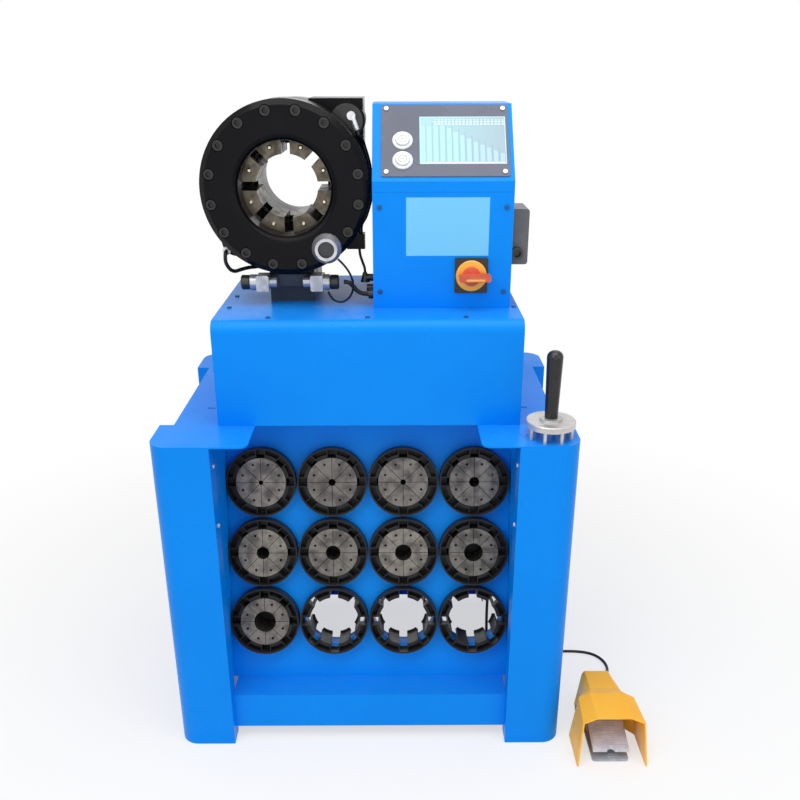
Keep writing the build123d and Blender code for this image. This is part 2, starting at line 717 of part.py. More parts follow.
def front_ring():
    """The front ring: bevelled, with a rounded throat, eight flats behind and bolt holes."""
    ring = disc(RING_R, 0, RING_LEN)
    outer = ring.edges().filter_by(GeomType.CIRCLE).group_by(Axis.Z)[-1]
    ring = chamfer(outer, RING_BEVEL)
    throat_r = ring_throat_r()
    ring -= disc(throat_r, 0, RING_THROAT)
    mouth = ring.edges().filter_by(GeomType.CIRCLE).group_by(Axis.Z)[-1].sort_by(SortBy.RADIUS)[0]
    ring = fillet(mouth, THROAT_ROUND)
    ring -= eight_flats(RING_THROAT, throat_r, RING_LEN, throat_r + RING_LEN - RING_THROAT)
    for angle in bolt_angles(BOLTS):
        hole = disc(COUNTERBORE_R, -1, COUNTERBORE_T, BOLT_CIRCLE_R)
        hole += disc(BOLT_R + BOLT_PLAY, 0, RING_LEN, BOLT_CIRCLE_R)
        ring -= Rot(0, 0, angle) * hole
    return ring


def cylinder_body():
    """The head's cylinder, with the port lug, its square corner, and the two lower lugs."""
    body = disc(BODY_R, RING_LEN, BODY_END)
    body += disc(PORT_LUG_R, RING_LEN, PORT_LUG_END, *PORT_LUG)
    left, right, low, high = CORNER_BLOCK
    start, end = CORNER_BLOCK_ENDS
    body += block(left, right, low, high, -end, -start)
    body += disc(BLEED_LUG_R, RING_LEN, BLEED_LUG_END, *BLEED_LUG)
    left, right, low, high = LOWER_LUG
    start, end = LOWER_LUG_ENDS
    body += block(left, right, low, high, -end, -start)
    body -= disc(CYLINDER_R, RING_LEN, BODY_END)
    for angle in bolt_angles(BOLTS):
        body -= Rot(0, 0, angle) * disc(BOLT_R, RING_LEN, BOLT_REACH, BOLT_CIRCLE_R)
    for angle in bolt_angles(REAR_BOLTS):
        hole = disc(BOLT_R, BODY_END - 2 * BOLT_HEAD_H, BODY_END, REAR_BOLT_CIRCLE_R)
        body -= Rot(0, 0, angle) * hole
    return body


def cap_screw(head_depth, tip_depth, circle_r, to_front):
    """A socket head cap screw of the head. Its head lies towards the front or the rear."""
    sign = 1 if to_front else -1
    head_end = head_depth - sign * BOLT_HEAD_H
    head = disc(BOLT_HEAD_R, min(head_depth, head_end), max(head_depth, head_end), circle_r)
    socket = Pos(circle_r, 0, -head_end) * extrude(
        RegularPolygon(BOLT_HEX_R, 6), BOLT_HEAD_H * 0.55, both=True
    )
    shank = disc(BOLT_R, min(head_depth, tip_depth), max(head_depth, tip_depth), circle_r)
    return head - socket + shank


def head_bolts():
    """The ring's sixteen cap screws and the rear cover's eight."""
    front = cap_screw(COUNTERBORE_T, BOLT_REACH - LOOSE, BOLT_CIRCLE_R, True)
    rear = cap_screw(
        BODY_END + COVER_FLANGE, BODY_END - 2 * BOLT_HEAD_H + LOOSE, REAR_BOLT_CIRCLE_R, False
    )
    screws = [Rot(0, 0, angle) * front for angle in bolt_angles(BOLTS)]
    return screws + [Rot(0, 0, angle) * rear for angle in bolt_angles(REAR_BOLTS)]


def seal_ring(inner, outer, depth):
    """One seal ring of the piston."""
    return disc(outer, depth, depth + SEAL[1]) - disc(inner, depth, depth + SEAL[1])


def piston():
    """The ring piston: eight flats in front, seal grooves outside and inside."""
    outer = CYLINDER_R - RUN_FIT
    inner = TUBE_R + RUN_FIT
    body = disc(outer, PISTON_FRONT, PISTON_BACK) - disc(inner, PISTON_FRONT, PISTON_BACK)
    cup = piston_cup()
    body -= eight_flats(PISTON_FRONT, inner + cup - PISTON_FRONT, cup, inner)
    for depth in SEAL_DEPTHS:
        body -= seal_ring(outer - SEAL[0], outer + 1, depth)
    return body - seal_ring(inner - 1, inner + SEAL[0], SEAL_DEPTHS[0])


def piston_seals():
    """The piston's two outer seals and its inner one."""
    outer = CYLINDER_R - 2 * RUN_FIT
    inner = TUBE_R + 2 * RUN_FIT
    seals = [seal_ring(outer - SEAL[0] + RUN_FIT, outer, depth) for depth in SEAL_DEPTHS]
    return seals + [seal_ring(inner, inner + SEAL[0] - RUN_FIT, SEAL_DEPTHS[0])]


def rear_cover():
    """The rear cover: bolted flange, plug in the cylinder and the piston's guide tube."""
    end = BODY_END + COVER_FLANGE
    cover = disc(COVER_R, BODY_END, end) + disc(CYLINDER_R, BODY_END - COVER_PLUG, BODY_END)
    cover += disc(TUBE_R, TUBE_FRONT, end)
    cover -= disc(TUBE_BORE_R, TUBE_FRONT, end)
    for angle in bolt_angles(REAR_BOLTS):
        hole = disc(BOLT_R + BOLT_PLAY, BODY_END, end, REAR_BOLT_CIRCLE_R)
        cover -= Rot(0, 0, angle) * hole
    return cover


def spring_line(distance, radius, start, length):
    """A cylinder square to a gap between master dies, from start past the gap's middle."""
    half_step = 180 / MASTER_DIES
    depth = MASTER_FRONT + MASTER_LEN / 2
    place = Rot(0, 0, half_step) * Pos(distance, start, -depth) * Rot(-90, 0, 0)
    return place * Cylinder(radius, length, align=STAND)


def master_die():
    """One master die: oblique outer flats, cylindrical inside, parallel gaps to its neighbours.

    It comes with its locating pin and the return spring that reaches into the next die.
    """
    end = MASTER_FRONT + MASTER_LEN
    rise = MASTER_TOP_R - MASTER_FACE_R
    profile = Polyline(
        (0, -MASTER_FRONT), (MASTER_FACE_R, -MASTER_FRONT), (MASTER_TOP_R, -MASTER_FRONT - rise),
        (MASTER_TOP_R, -end + rise), (MASTER_FACE_R, -end), (0, -end), close=True,
    )
    section = Plane.XZ * make_face(profile)
    die = extrude(section, MASTER_TOP_R, both=True)
    half_step = radians(180 / MASTER_DIES)
    apex = MASTER_GAP / 2 / sin(half_step)
    far = 2 * MASTER_TOP_R
    spread = (far - apex) * tan(half_step)
    wedge = make_face(Polyline((apex, 0), (far, spread), (far, -spread), close=True))
    die &= Pos(0, 0, -2 * end) * extrude(wedge, 4 * end)
    die &= oblique_path(ring_throat_r(), RING_THROAT, 1)
    die &= oblique_path(TUBE_R + RUN_FIT, piston_cup(), -1)
    die -= disc(MASTER_BORE_R, 0, 2 * end)
    pin_hole = disc(MASTER_PIN_R, MASTER_FRONT, MASTER_FRONT + MASTER_PIN_IN, MASTER_PIN_CIRCLE_R)
    die -= pin_hole
    pocket_r = SPRING_R + SPRING_PLAY
    die -= spring_line(SPRING_CIRCLE_R, pocket_r, -MASTER_GAP / 2 - SPRING_SEAT, 2 * SPRING_SEAT)
    deep = SPRING_SEAT + 2 * MASTER_CLOSING * sin(half_step) + SPRING_PLAY
    next_pocket = spring_line(SPRING_CIRCLE_R, pocket_r, MASTER_GAP / 2 - 1, deep + 1)
    die -= Rot(0, 0, -360 / MASTER_DIES) * next_pocket
    pin = disc(
        MASTER_PIN_R, MASTER_FRONT - MASTER_PIN_OUT, MASTER_FRONT + MASTER_PIN_IN, MASTER_PIN_CIRCLE_R
    )
    pin = chamfer(pin.edges().group_by(Axis.Z)[-1], MASTER_PIN_R * 0.4)
    length = MASTER_GAP + 2 * SPRING_SEAT
    start = -MASTER_GAP / 2 - SPRING_SEAT
    spring = spring_line(SPRING_CIRCLE_R, SPRING_R, start, length)
    spring -= spring_line(SPRING_CIRCLE_R, SPRING_R - SPRING_WALL, start, length)
    return [die, pin, spring]


# ---- what stands round the head ---------------------------------------------------------

def pedestal():
    """The pedestal, cradled to the head, with the bar that carries the sensor blocks."""
    half = PEDESTAL_W / 2
    foot = block(
        HEAD_X - half, HEAD_X + half, at(PEDESTAL_SETBACK), at(PEDESTAL_END), PACK_TOP, HEAD_Z
    )
    reach, depth, height = SENSOR_BAR
    foot += block(
        HEAD_X - reach, HEAD_X + reach, at(PEDESTAL_SETBACK) - depth, at(PEDESTAL_SETBACK),
        SENSOR_BAR_Z, SENSOR_BAR_Z + height,
    )
    ring_back = at(HEAD_SETBACK + RING_LEN)
    foot -= rod_y(RING_R, FRONT, ring_back, HEAD_X, HEAD_Z)
    return foot - rod_y(BODY_R, ring_back, -FRONT, HEAD_X, HEAD_Z)


def sensor_block(side):
    """A clamp block, its barrel and screw end, and the black plug, along X."""
    width, depth, height = SENSOR_BLOCK
    x = HEAD_X + side * SENSOR_X
    back = at(PEDESTAL_SETBACK) - SENSOR_BAR[1]
    y = back - depth / 2
    core = block(
        x - width / 2, x + width / 2, back - depth, back, SENSOR_Z - height / 2, SENSOR_Z + height / 2
    )
    edges = core.edges().filter_by(Axis.Y)
    core = chamfer(edges, 2)
    outer = [x + side * d for d in (width / 2, width / 2 + 12, width / 2 + 29)]
    inner = [x - side * d for d in (width / 2, width / 2 + 14)]
    barrel = rod_x(14.5, min(outer[:2]), max(outer[:2]), y, SENSOR_Z)
    stub = rod_x(9.5, min(inner), max(inner), y, SENSOR_Z)
    plug = rod_x(13.5, min(outer[1:]), max(outer[1:]), y, SENSOR_Z)
    plug = chamfer(plug.edges().filter_by(GeomType.CIRCLE), 2)
    return [core + barrel + stub, plug]


def work_lamp():
    """The round lamp on the ring's face: bevelled housing and lens."""
    x, up = LAMP_AT
    shoulder = LAMP_OUT * 0.45
    housing = disc(LAMP_R, -shoulder, 0, x, up)
    cone = Pos(x, up, shoulder) * Cone(LAMP_R, LAMP_FACE_R, LAMP_OUT - shoulder, align=STAND)
    recess = disc(LAMP_LENS_R, -LAMP_OUT, -shoulder, x, up)
    lens = disc(LAMP_LENS_R, -LAMP_OUT * 0.75, -shoulder, x, up)
    return [housing + cone - recess, lens]


def port_fittings():
    """The port face in the upper lug, its elbow, and the bleed nut at the lower left."""
    x, up = PORT_LUG
    port = disc(PORT_FACE_R, RING_LEN - 6, RING_LEN, x, up) - disc(
        RING_R + LOOSE, RING_LEN - 7, RING_LEN
    )
    x, up = PORT_ELBOW
    elbow = disc(NUT_R, RING_LEN - 24, RING_LEN - 6, x, up)
    arm = Pos(x, up, -ELBOW_DEPTH) * Rot(0, 0, -ELBOW_DROP) * Rot(0, 90, 0)
    elbow += arm * Cylinder(NUT_R * 0.8, ELBOW_REACH, align=STAND)
    nut = disc(NUT_R, RING_LEN - 34, RING_LEN, *BLEED_PORT)
    return [port, elbow, nut]


def head_point(x, up, depth):
    """A place given from the head's axis and the ring's front face."""
    return (HEAD_X + x, at(HEAD_SETBACK + depth), HEAD_Z + up)


def oil_tubes():
    """The pressure tube round the head's right side and the bleed tube at its lower left."""
    x, up = PORT_ELBOW
    right = cos(radians(ELBOW_DROP))
    down = sin(radians(ELBOW_DROP))
    tip = (x + ELBOW_REACH * right, up - ELBOW_REACH * down)
    past = (tip[0] + 10 * right, tip[1] - 10 * down)
    behind = RING_LEN + TUBE_D + 1
    lug_x = LOWER_LUG[1] - TUBE_D
    lug_top = LOWER_LUG[3]
    lug_depth = sum(LOWER_LUG_ENDS) / 2
    pressure = lead(
        (
            head_point(*tip, ELBOW_DEPTH), head_point(*past, ELBOW_DEPTH),
            head_point(past[0] + 5, past[1] - 8, behind), head_point(TUBE_OUT, 28, behind + 1),
            head_point(TUBE_OUT, -28, behind + 1), head_point(TUBE_OUT - 11, -62, lug_depth - 3),
            head_point(lug_x, lug_top + 16, lug_depth), head_point(lug_x, lug_top, lug_depth),
        ),
        TUBE_D,
    )
    x, up = BLEED_PORT
    depth = RING_LEN - 34
    side = PEDESTAL_W / 2
    bleed = lead(
        (
            head_point(x, up, depth), head_point(x, up, depth - 13),
            head_point(x - 2, up - 20, depth - 10), head_point(x + 8, up - 40, depth),
            head_point(x + 32, up - 34, depth + 14), head_point(-side - 16, up - 36, depth + 40),
            head_point(-side, up - 36, depth + 40),
        ),
        TUBE_D - 1,
    )
    return [pressure, bleed]


# ---- control box ------------------------------------------------------------------------

BOX_MID = (BOX_LEFT + BOX_RIGHT) / 2
SLOPE = Plane(
    origin=(BOX_MID, at(BOX_SETBACK), CREASE_Z), x_dir=(1, 0, 0),
    z_dir=(0, CREASE_Z - CONSOLE_TOP_Z, CONSOLE_TOP_SETBACK - BOX_SETBACK),
)


def box_outline(inset):
    """The control box from the side, drawn in by a wall's thickness."""
    recess = at(BOX_SETBACK + BOX_WALL)
    outline = make_face(Polyline(*[(y, z) for y, z in (
        (at(BOX_REAR), PACK_TOP), (recess, PACK_TOP), (recess, SEAM_Z), (at(BOX_SETBACK), SEAM_Z),
        (at(BOX_SETBACK), CREASE_Z), (at(CONSOLE_TOP_SETBACK), CONSOLE_TOP_Z),
        (at(BOX_REAR), CONSOLE_TOP_Z),
    )], close=True))
    if inset:
        outline = offset(outline, amount=-inset, kind=Kind.INTERSECTION)
    return Plane.YZ * outline


def control_box():
    """The control box's folded body, open behind its front cover and its console."""
    width = BOX_RIGHT - BOX_LEFT
    body = Pos(BOX_LEFT, 0, 0) * extrude(box_outline(0), width, dir=(1, 0, 0))
    room = Pos(BOX_LEFT + BOX_WALL, 0, 0) * extrude(
        box_outline(BOX_WALL), width - 2 * BOX_WALL, dir=(1, 0, 0)
    )
    body -= room
    margin = 2 * COVER_MARGIN
    body -= block(
        BOX_LEFT + margin, BOX_RIGHT - margin, at(BOX_SETBACK), at(BOX_SETBACK + 3 * BOX_WALL),
        PACK_TOP + 1.5 * margin, SEAM_Z - 1.5 * margin,
    )
    window_w = CONSOLE[0] - 2 * BOX_WALL * 2
    window_h = CONSOLE[1] - 1.3 * margin
    u, v = CONSOLE_AT
    return body - SLOPE * Pos(u, v, 0) * Box(window_w, window_h, 4 * BOX_WALL)


def cover_screw_places():
    """The four screws of the front cover, as (x, z)."""
    xs = (BOX_LEFT + COVER_MARGIN, BOX_RIGHT - COVER_MARGIN)
    return [(x, z) for x in xs for z in (PACK_TOP + 30.5, SEAM_Z - 26.5)]


def control_cover():
    """The front cover of the control box, bored for the main switch and its screws."""
    y0 = at(BOX_SETBACK)
    plate = block(BOX_LEFT, BOX_RIGHT, y0, y0 + BOX_WALL, PACK_TOP + LOOSE, SEAM_Z - LOOSE)
    x, z = SWITCH_AT
    return plate - rod_y(3 * SWITCH_SHAFT_R, y0 - 1, y0 + 2 * BOX_WALL, x, z)


def console_screw_places():
    """The four screws of the console, on the slope."""
    u, v = CONSOLE_AT
    half_w = CONSOLE[0] / 2 - 9
    half_h = CONSOLE[1] / 2 - 9
    return [(u + i * half_w, v + j * half_h) for i in (-1, 1) for j in (-1, 1)]


def console():
    """The console plate, with the screen's window and the collars of its two buttons."""
    u, v = CONSOLE_AT
    plate = Pos(u, v, 0) * Box(CONSOLE[0], CONSOLE[1], CONSOLE_T, align=STAND)
    plate = fillet(plate.edges().filter_by(Axis.Z), 4)
    u, v = SCREEN_AT
    plate -= Pos(u, v, 0) * Box(SCREEN[0], SCREEN[1], 4 * CONSOLE_T)
    for v in BUTTON_V:
        collar = Cylinder(BUTTON_COLLAR_R, CONSOLE_T + BUTTON_COLLAR_H, align=STAND)
        plate += Pos(BUTTON_U, v, 0) * collar
        plate -= Pos(BUTTON_U, v, 0) * Cylinder(BUTTON_R, 8 * CONSOLE_T)
    return plate


def screen():
    """The touch screen, level with the console's face."""
    u, v = SCREEN_AT
    return Pos(u, v, CONSOLE_T - SCREEN_T) * Box(SCREEN[0], SCREEN[1], SCREEN_T, align=STAND)


def push_button(v):
    """A push button with the flange that keeps it behind the console."""
    shaft_r = BUTTON_R - RUN_FIT
    top = CONSOLE_T + BUTTON_COLLAR_H + BUTTON_PROUD
    cap = Pos(0, 0, -BUTTON_DEEP) * Cylinder(shaft_r, top + BUTTON_DEEP, align=STAND)
    cap = fillet(cap.edges().group_by(Axis.Z)[-1], 1.5)
    flange = Pos(0, 0, -LOOSE - 2) * Cylinder(shaft_r + 2, 2, align=STAND)
    return Pos(BUTTON_U, v, 0) * (cap + flange)


def switch_front():
    """The Y of the face that the switch's handle turns on."""
    return at(BOX_SETBACK) - SWITCH_PLATE[2] - SWITCH_RING_T


def switch_mount():
    """The main switch's square plate and round bezel."""
    x, z = SWITCH_AT
    y0 = at(BOX_SETBACK)
    width, height, thick = SWITCH_PLATE
    plate = block(x - width / 2, x + width / 2, y0 - thick, y0, z - height / 2, z + height / 2)
    plate = fillet(plate.edges().filter_by(Axis.Y), 3)
    ring = rod_y(SWITCH_RING_R, switch_front(), y0 - thick, x, z)
    ring = chamfer(ring.edges().filter_by(GeomType.CIRCLE).sort_by(Axis.Y)[0], 1.5)
    bore = rod_y(SWITCH_SHAFT_R + RUN_FIT, switch_front() - 1, y0 + 1, x, z)
    return [plate - bore, ring - bore]


def switch_handle():
    """The main switch's handle: hub, grip with a lug to one side, and shaft."""
    x, z = SWITCH_AT
    face = switch_front() - LOOSE
    hub = rod_y(SWITCH_HUB_R, face - SWITCH_HUB_T, face, x, z)
    width, height, depth = SWITCH_GRIP
    grip = block(
        x - width / 2, x + SWITCH_LUG, face - SWITCH_HUB_T - depth, face - SWITCH_HUB_T + 1,
        z - height / 2, z + height / 2,
    )
    grip = fillet(grip.edges().filter_by(Axis.Y), 4)
    return hub + grip + rod_y(SWITCH_SHAFT_R, face, at(BOX_SETBACK) + 6, x, z)


def junction_box():
    """The junction box on the control box's right side: base and lid."""
    width, depth, height = JUNCTION
    y0 = at(JUNCTION_SETBACK)
    base = block(BOX_RIGHT, BOX_RIGHT + JUNCTION_BASE, y0, y0 + depth, JUNCTION_Z, JUNCTION_Z + height)
    lid = block(
        BOX_RIGHT + JUNCTION_BASE, BOX_RIGHT + width, y0, y0 + depth, JUNCTION_Z, JUNCTION_Z + height
    )
    lid = fillet(lid.edges().filter_by(Axis.Y).sort_by(Axis.X)[-2:], 5)
    return [base, lid]


def cable_glands():
    """The glands: two and a rubber boot on the control box, one on the junction box, and the
    pedal lead's, under the bench top."""
    boot_x, boot_y, boot_z = BOOT_CABLE[-1]
    boot = Pos(boot_x, boot_y, boot_z - 18) * Cone(9, 4, 18, align=STAND)
    boot += rod_x(7, boot_x, BOX_LEFT, boot_y, boot_z - 10)
    low_x, low_y, low_z = SENSOR_CABLE[-1]
    screwed = rod_x(9, low_x, BOX_LEFT, low_y, low_z)
    spare = rod_x(7, BOX_LEFT - 14, BOX_LEFT, low_y + 34, low_z + 4)
    y0 = at(JUNCTION_SETBACK)
    side = rod_y(11, y0 - 12, y0, BOX_RIGHT + 11.5, JUNCTION_Z + 22)
    side -= rod_y(7, y0 - 13, y0 - 3, BOX_RIGHT + 11.5, JUNCTION_Z + 22)
    cord_x, cord_y, cord_z = PEDAL_CORD_DROP[0]
    under = Pos(cord_x, cord_y, cord_z) * Cylinder(GLAND_R, BENCH_H - TOP_PLATE - cord_z, align=STAND)
    return [boot, screwed, spare, side, under]


# ---- screws of the sheet metal ------------------------------------------------------------

def panel_screws():
    """Pan head screws on the posts, the front cover, the console and the power pack."""
    screw = pan_screw(4.5, 2.4, 2.5, 1.8)
    screws = []
    for side, setback, z in post_screw_places():
        inner = side * (HALF_W - POST_W)
        screws.append(Pos(inner, at(setback), z) * Rot(0, -side * 90, 0) * screw)
    for x, z in cover_screw_places():
        screws.append(Pos(x, at(BOX_SETBACK), z) * Rot(90, 0, 0) * screw)
    for u, v in console_screw_places():
        screws.append(SLOPE * Pos(u, v, CONSOLE_T) * screw)
    for x, y in pack_screw_places():
        screws.append(Pos(x, y, PACK_TOP) * screw)
    return screws


def pack_screw_places():
    """The screws along the left and front edges of the power pack's top."""
    left = [(PACK_LEFT + 17, at(setback)) for setback in (205.0, 295.0, 379.0)]
    right = [(PACK_RIGHT - 8, y) for _, y in left]
    front = [(x, at(PACK_SETBACK + 30)) for x in (-173.0, 4.7, 180.0)]
    return left + right + front


# ---- die change tool ----------------------------------------------------------------------

def tool_disc():
    """The tool's disc with its shouldered pins, which stand in holes of the bench top."""
    base = BENCH_H + TOOL_LIFT
    plate = Pos(TOOL_X, at(TOOL_SETBACK), base) * Cylinder(TOOL_R, TOOL_T, align=STAND)
    plate = chamfer(plate.edges().group_by(Axis.Z)[-1], 1.5)
    hub = Pos(TOOL_X, at(TOOL_SETBACK), base + TOOL_T) * Cylinder(TOOL_HUB_R, TOOL_HUB_T, align=STAND)
    tool = plate + hub
    for x, y in tool_pin_places():
        tool += Pos(x, y, BENCH_H) * Cylinder(TOOL_PIN_R, TOOL_LIFT + 1, align=STAND)
        tool += Pos(x, y, BENCH_H - TOOL_TIP) * Cylinder(TOOL_TIP_R, TOOL_TIP + 1, align=STAND)
    return tool


def tool_grip():
    """The tool's black grip, a little thicker towards its rounded end."""
    low, high = GRIP_R
    base = BENCH_H + TOOL_LIFT + TOOL_T + TOOL_HUB_T
    grip = Cone(low, high, GRIP_LEN, align=STAND)
    grip = fillet(grip.edges().group_by(Axis.Z)[-1], high * 0.8)
    return Pos(TOOL_X, at(TOOL_SETBACK), base) * grip


# ---- foot pedal -----------------------------------------------------------------------------

PEDAL = Pos(PEDAL_X, at(PEDAL_SETBACK), 0)


def guard_loft(inset, drop, stretch):
    """The hood's form through its stations, drawn in by a wall. Its foot goes down by drop."""
    faces = []
    last = len(GUARD_STATIONS) - 1
    for i, (back, foot, shoulder, shoulder_h, top, top_h) in enumerate(GUARD_STATIONS):
        y = back - stretch if i == 0 else back - (inset if i == last else 0)
        points = [
            (-foot + inset, -drop), (-shoulder + inset, shoulder_h - inset / 2),
            (-top + inset / 2, top_h - inset), (top - inset / 2, top_h - inset),
            (shoulder - inset, shoulder_h - inset / 2), (foot - inset, -drop),
        ]
        faces.append(make_face(Polyline(*[(x, y, z) for x, z in points], close=True)))
    return loft(faces, ruled=True)


def pedal_guard():
    """The yellow hood: splayed sheet over the treadle that narrows to the switch housing."""
    hood = guard_loft(0, 0, 12) - guard_loft(GUARD_WALL, 2, 14)
    first = GUARD_STATIONS[0][0]
    rake = Pos(0, first, 0) * Rot(-GUARD_RAKE, 0, 0) * Pos(0, -60, 60) * Box(300, 120, 400)
    hood -= rake
    for place in guard_bolt_places():
        hood -= place * Cylinder(GUARD_BOLT_R, 60)
    x, radius, _, z = PEDAL_BOOT
    last = GUARD_STATIONS[-1][0]
    hood -= rod_y(radius, last - 2 * GUARD_WALL, last + 1, x, z)
    return PEDAL * hood


def guard_bolt_places():
    """The bolts that hold the hood to the base, through its sides."""
    back = GUARD_STATIONS[2][0] + 26
    return [Pos(side * GUARD_BOLT_X, back, 22) * Rot(0, side * 90, 0) for side in (-1, 1)]


def pedal_base():
    """The cast base: plate with a fixing hole, pivot ears and rear block, its pin and bolts."""
    half = PEDAL_W / 2
    plate = block(-half, half, 0, PEDAL_LEN, 0, PEDAL_PLATE)
    plate = fillet(plate.edges().filter_by(Axis.Z).sort_by(Axis.Y)[:2], 6)
    plate -= Pos(0, 11, 0) * Cylinder(3.5, 4 * PEDAL_PLATE)
    start, side_x, height = PEDAL_BLOCK
    base = plate + block(-side_x, side_x, start, PEDAL_LEN, 0, height)
    pivot_y, pivot_z = PEDAL_PIVOT
    for side in (-1, 1):
        inner = side * (half - 3)
        outer = side * (half - 3 - PEDAL_EAR)
        low, high = min(inner, outer), max(inner, outer)
        base += block(low, high, pivot_y - 10, start + 1, 0, pivot_z)
        base += rod_x(10, low, high, pivot_y, pivot_z)
    pin = rod_x(PEDAL_PIN_R, -half + 3, half - 3, pivot_y, pivot_z)
    base -= pin
    reach = GUARD_BOLT_X - side_x
    bolt = Pos(0, 0, -reach) * Cylinder(GUARD_BOLT_R, reach, align=STAND)
    bolt += Cylinder(2.2 * GUARD_BOLT_R, 2 * GUARD_BOLT_R, align=STAND)
    x, radius, out, z = PEDAL_BOOT
    boot = rod_y(radius, PEDAL_LEN, GUARD_STATIONS[-1][0] + out, x, z)
    pieces = [base, pin, boot] + [place * bolt for place in guard_bolt_places()]
    return [PEDAL * piece for piece in pieces]


def treadle():
    """The ribbed treadle, hinged at its rear, with a rounded notch in its front edge."""
    half = PEDAL_W / 2 - 0.5
    (y0, z0), (y1, z1) = TREADLE_FRONT, TREADLE_BACK
    pivot_y, pivot_z = PEDAL_PIVOT
    outline = [(y0, z0 - TREADLE_T), (y0, z0), (y1, z1), (y1, z1 - TREADLE_T)]
    tread = prism_x(outline, -half, half)
    run = sqrt((y1 - y0) ** 2 + (z1 - z0) ** 2)
    slope = Plane(origin=(0, y0, z0), x_dir=(1, 0, 0), z_dir=(0, z0 - z1, y1 - y0))
    for i in range(TREADLE_RIBS):
        up = 5 + i * (run - 10) / (TREADLE_RIBS - 1)
        tread += slope * Pos(0, up, 0) * Box(
            PEDAL_W - 6, TREADLE_RIB[0], 2 * TREADLE_RIB[1]
        )
    tread -= Pos(0, y0 - 2, 0) * Cylinder(TREADLE_NOTCH_R, 200)
    inner = PEDAL_W / 2 - 3 - PEDAL_EAR - LOOSE
    arm = prism_x(
        [(y1 - 26, z1 - TREADLE_T - 7), (y1, z1 - 1), (pivot_y + 7, pivot_z), (pivot_y, pivot_z - 7)],
        -inner, inner,
    )
    arm += rod_x(8, -inner, inner, pivot_y, pivot_z)
    tread += arm
    return PEDAL * (tread - rod_x(PEDAL_PIN_R + RUN_FIT, -half - 1, half + 1, pivot_y, pivot_z))


def cord_coil():
    """The outer shape of the pedal lead's coil, a flat ring on the floor."""
    x, y = COIL_AT
    half = COIL_ABREAST * CORD_D / 2
    ring = Cylinder(COIL_R + half, COIL_LAYERS * CORD_D, align=STAND)
    return Pos(x, y, 0) * (ring - Cylinder(COIL_R - half, 4 * COIL_LAYERS * CORD_D))


# ---- every node ---------------------------------------------------------------------------

def save(name, *pieces):
    """Writes one node's STEP file, a single solid or a group of separate ones."""
    solids = [solid for piece in pieces for solid in piece.solids()]
    export_step(solids[0] if len(solids) == 1 else Compound(solids), f"parts/{name}.step")


os.makedirs("parts", exist_ok=True)

screws = panel_screws()
screw_holes = Compound([solid for screw in screws for solid in screw.solids()])

save("front_posts", *[post(side, -1) - screw_holes for side in (-1, 1)])
save("rear_frame", post(-1, 1), post(1, 1), rear_rail())
save("bench_top", bench_top())
save("side_panels", side_panel(-1), side_panel(1))
save("rack_cheeks", rack_cheek(-1), rack_cheek(1))
save("rack_panel", rack_panel())
save("panel_screws", *screws)

save("pack_housing", pack_housing() - screw_holes)
save("pack_rear_cover", pack_rear())
save("oil_reservoir", *reservoir())
save("pump_motor", motor())
save("pump_and_valves", *pump_and_valves())

save("head_pedestal", pedestal())
save("cylinder_body", HEAD * cylinder_body())
save("front_ring", HEAD * front_ring())
save("head_bolts", *[HEAD * bolt for bolt in head_bolts()])
save("piston", HEAD * piston())
save("piston_seals", *[HEAD * seal for seal in piston_seals()])
save("rear_cover", HEAD * rear_cover())
for number, angle in enumerate(bolt_angles(MASTER_DIES), start=1):
    turned = HEAD * Rot(0, 0, angle)
    save(f"master_die_{number}", *[turned * piece for piece in master_die()])
save("port_fittings", *[HEAD * piece for piece in port_fittings()])
save("oil_tubes", *oil_tubes())
save("work_lamp", *[HEAD * piece for piece in work_lamp()])
save("sensor_blocks", *[piece for side in (-1, 1) for piece in sensor_block(side)])

save("control_box", control_box())
save("control_cover", control_cover() - screw_holes)
save("console_plate", SLOPE * console() - screw_holes)
save("touch_screen", SLOPE * screen())
save("open_button", SLOPE * push_button(BUTTON_V[0]))
save("close_button", SLOPE * push_button(BUTTON_V[1]))
save("switch_mount", *switch_mount())
save("switch_handle", switch_handle())
save("junction_box", *junction_box())
save("cable_glands", *cable_glands())
save("head_cables", lead(LAMP_CABLE, LAMP_CABLE_D), lead(BOOT_CABLE, BOOT_CABLE_D),
     lead(SENSOR_CABLE, SENSOR_CABLE_D))

save("tool_disc", tool_disc())
save("tool_grip", tool_grip())

places = [RACK * Pos(x, up, 0) for x, up in rack_places()]
full = places[:len(DIE_BORES)]
save("die_holders", *[place * holder() for place in full])
save("empty_die_holders", *[place * holder() for place in places[len(DIE_BORES):]])
for number, (place, bore) in enumerate(zip(full, DIE_BORES), start=1):
    save(f"die_set_{number}", place * die_set(bore))

save("pedal_base", *pedal_base())
save("pedal_treadle", treadle())
save("pedal_guard", pedal_guard())
save("pedal_cord", lead(PEDAL_CORD_DROP, CORD_D), lead(PEDAL_CORD_FLOOR, CORD_D))
save("pedal_cord_coil", cord_coil())
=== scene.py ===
import logging
import math
from dataclasses import dataclass, field
from enum import Enum
from functools import partial

import bmesh
import bpy
import numpy as np
from mathutils import Euler, Matrix, Vector


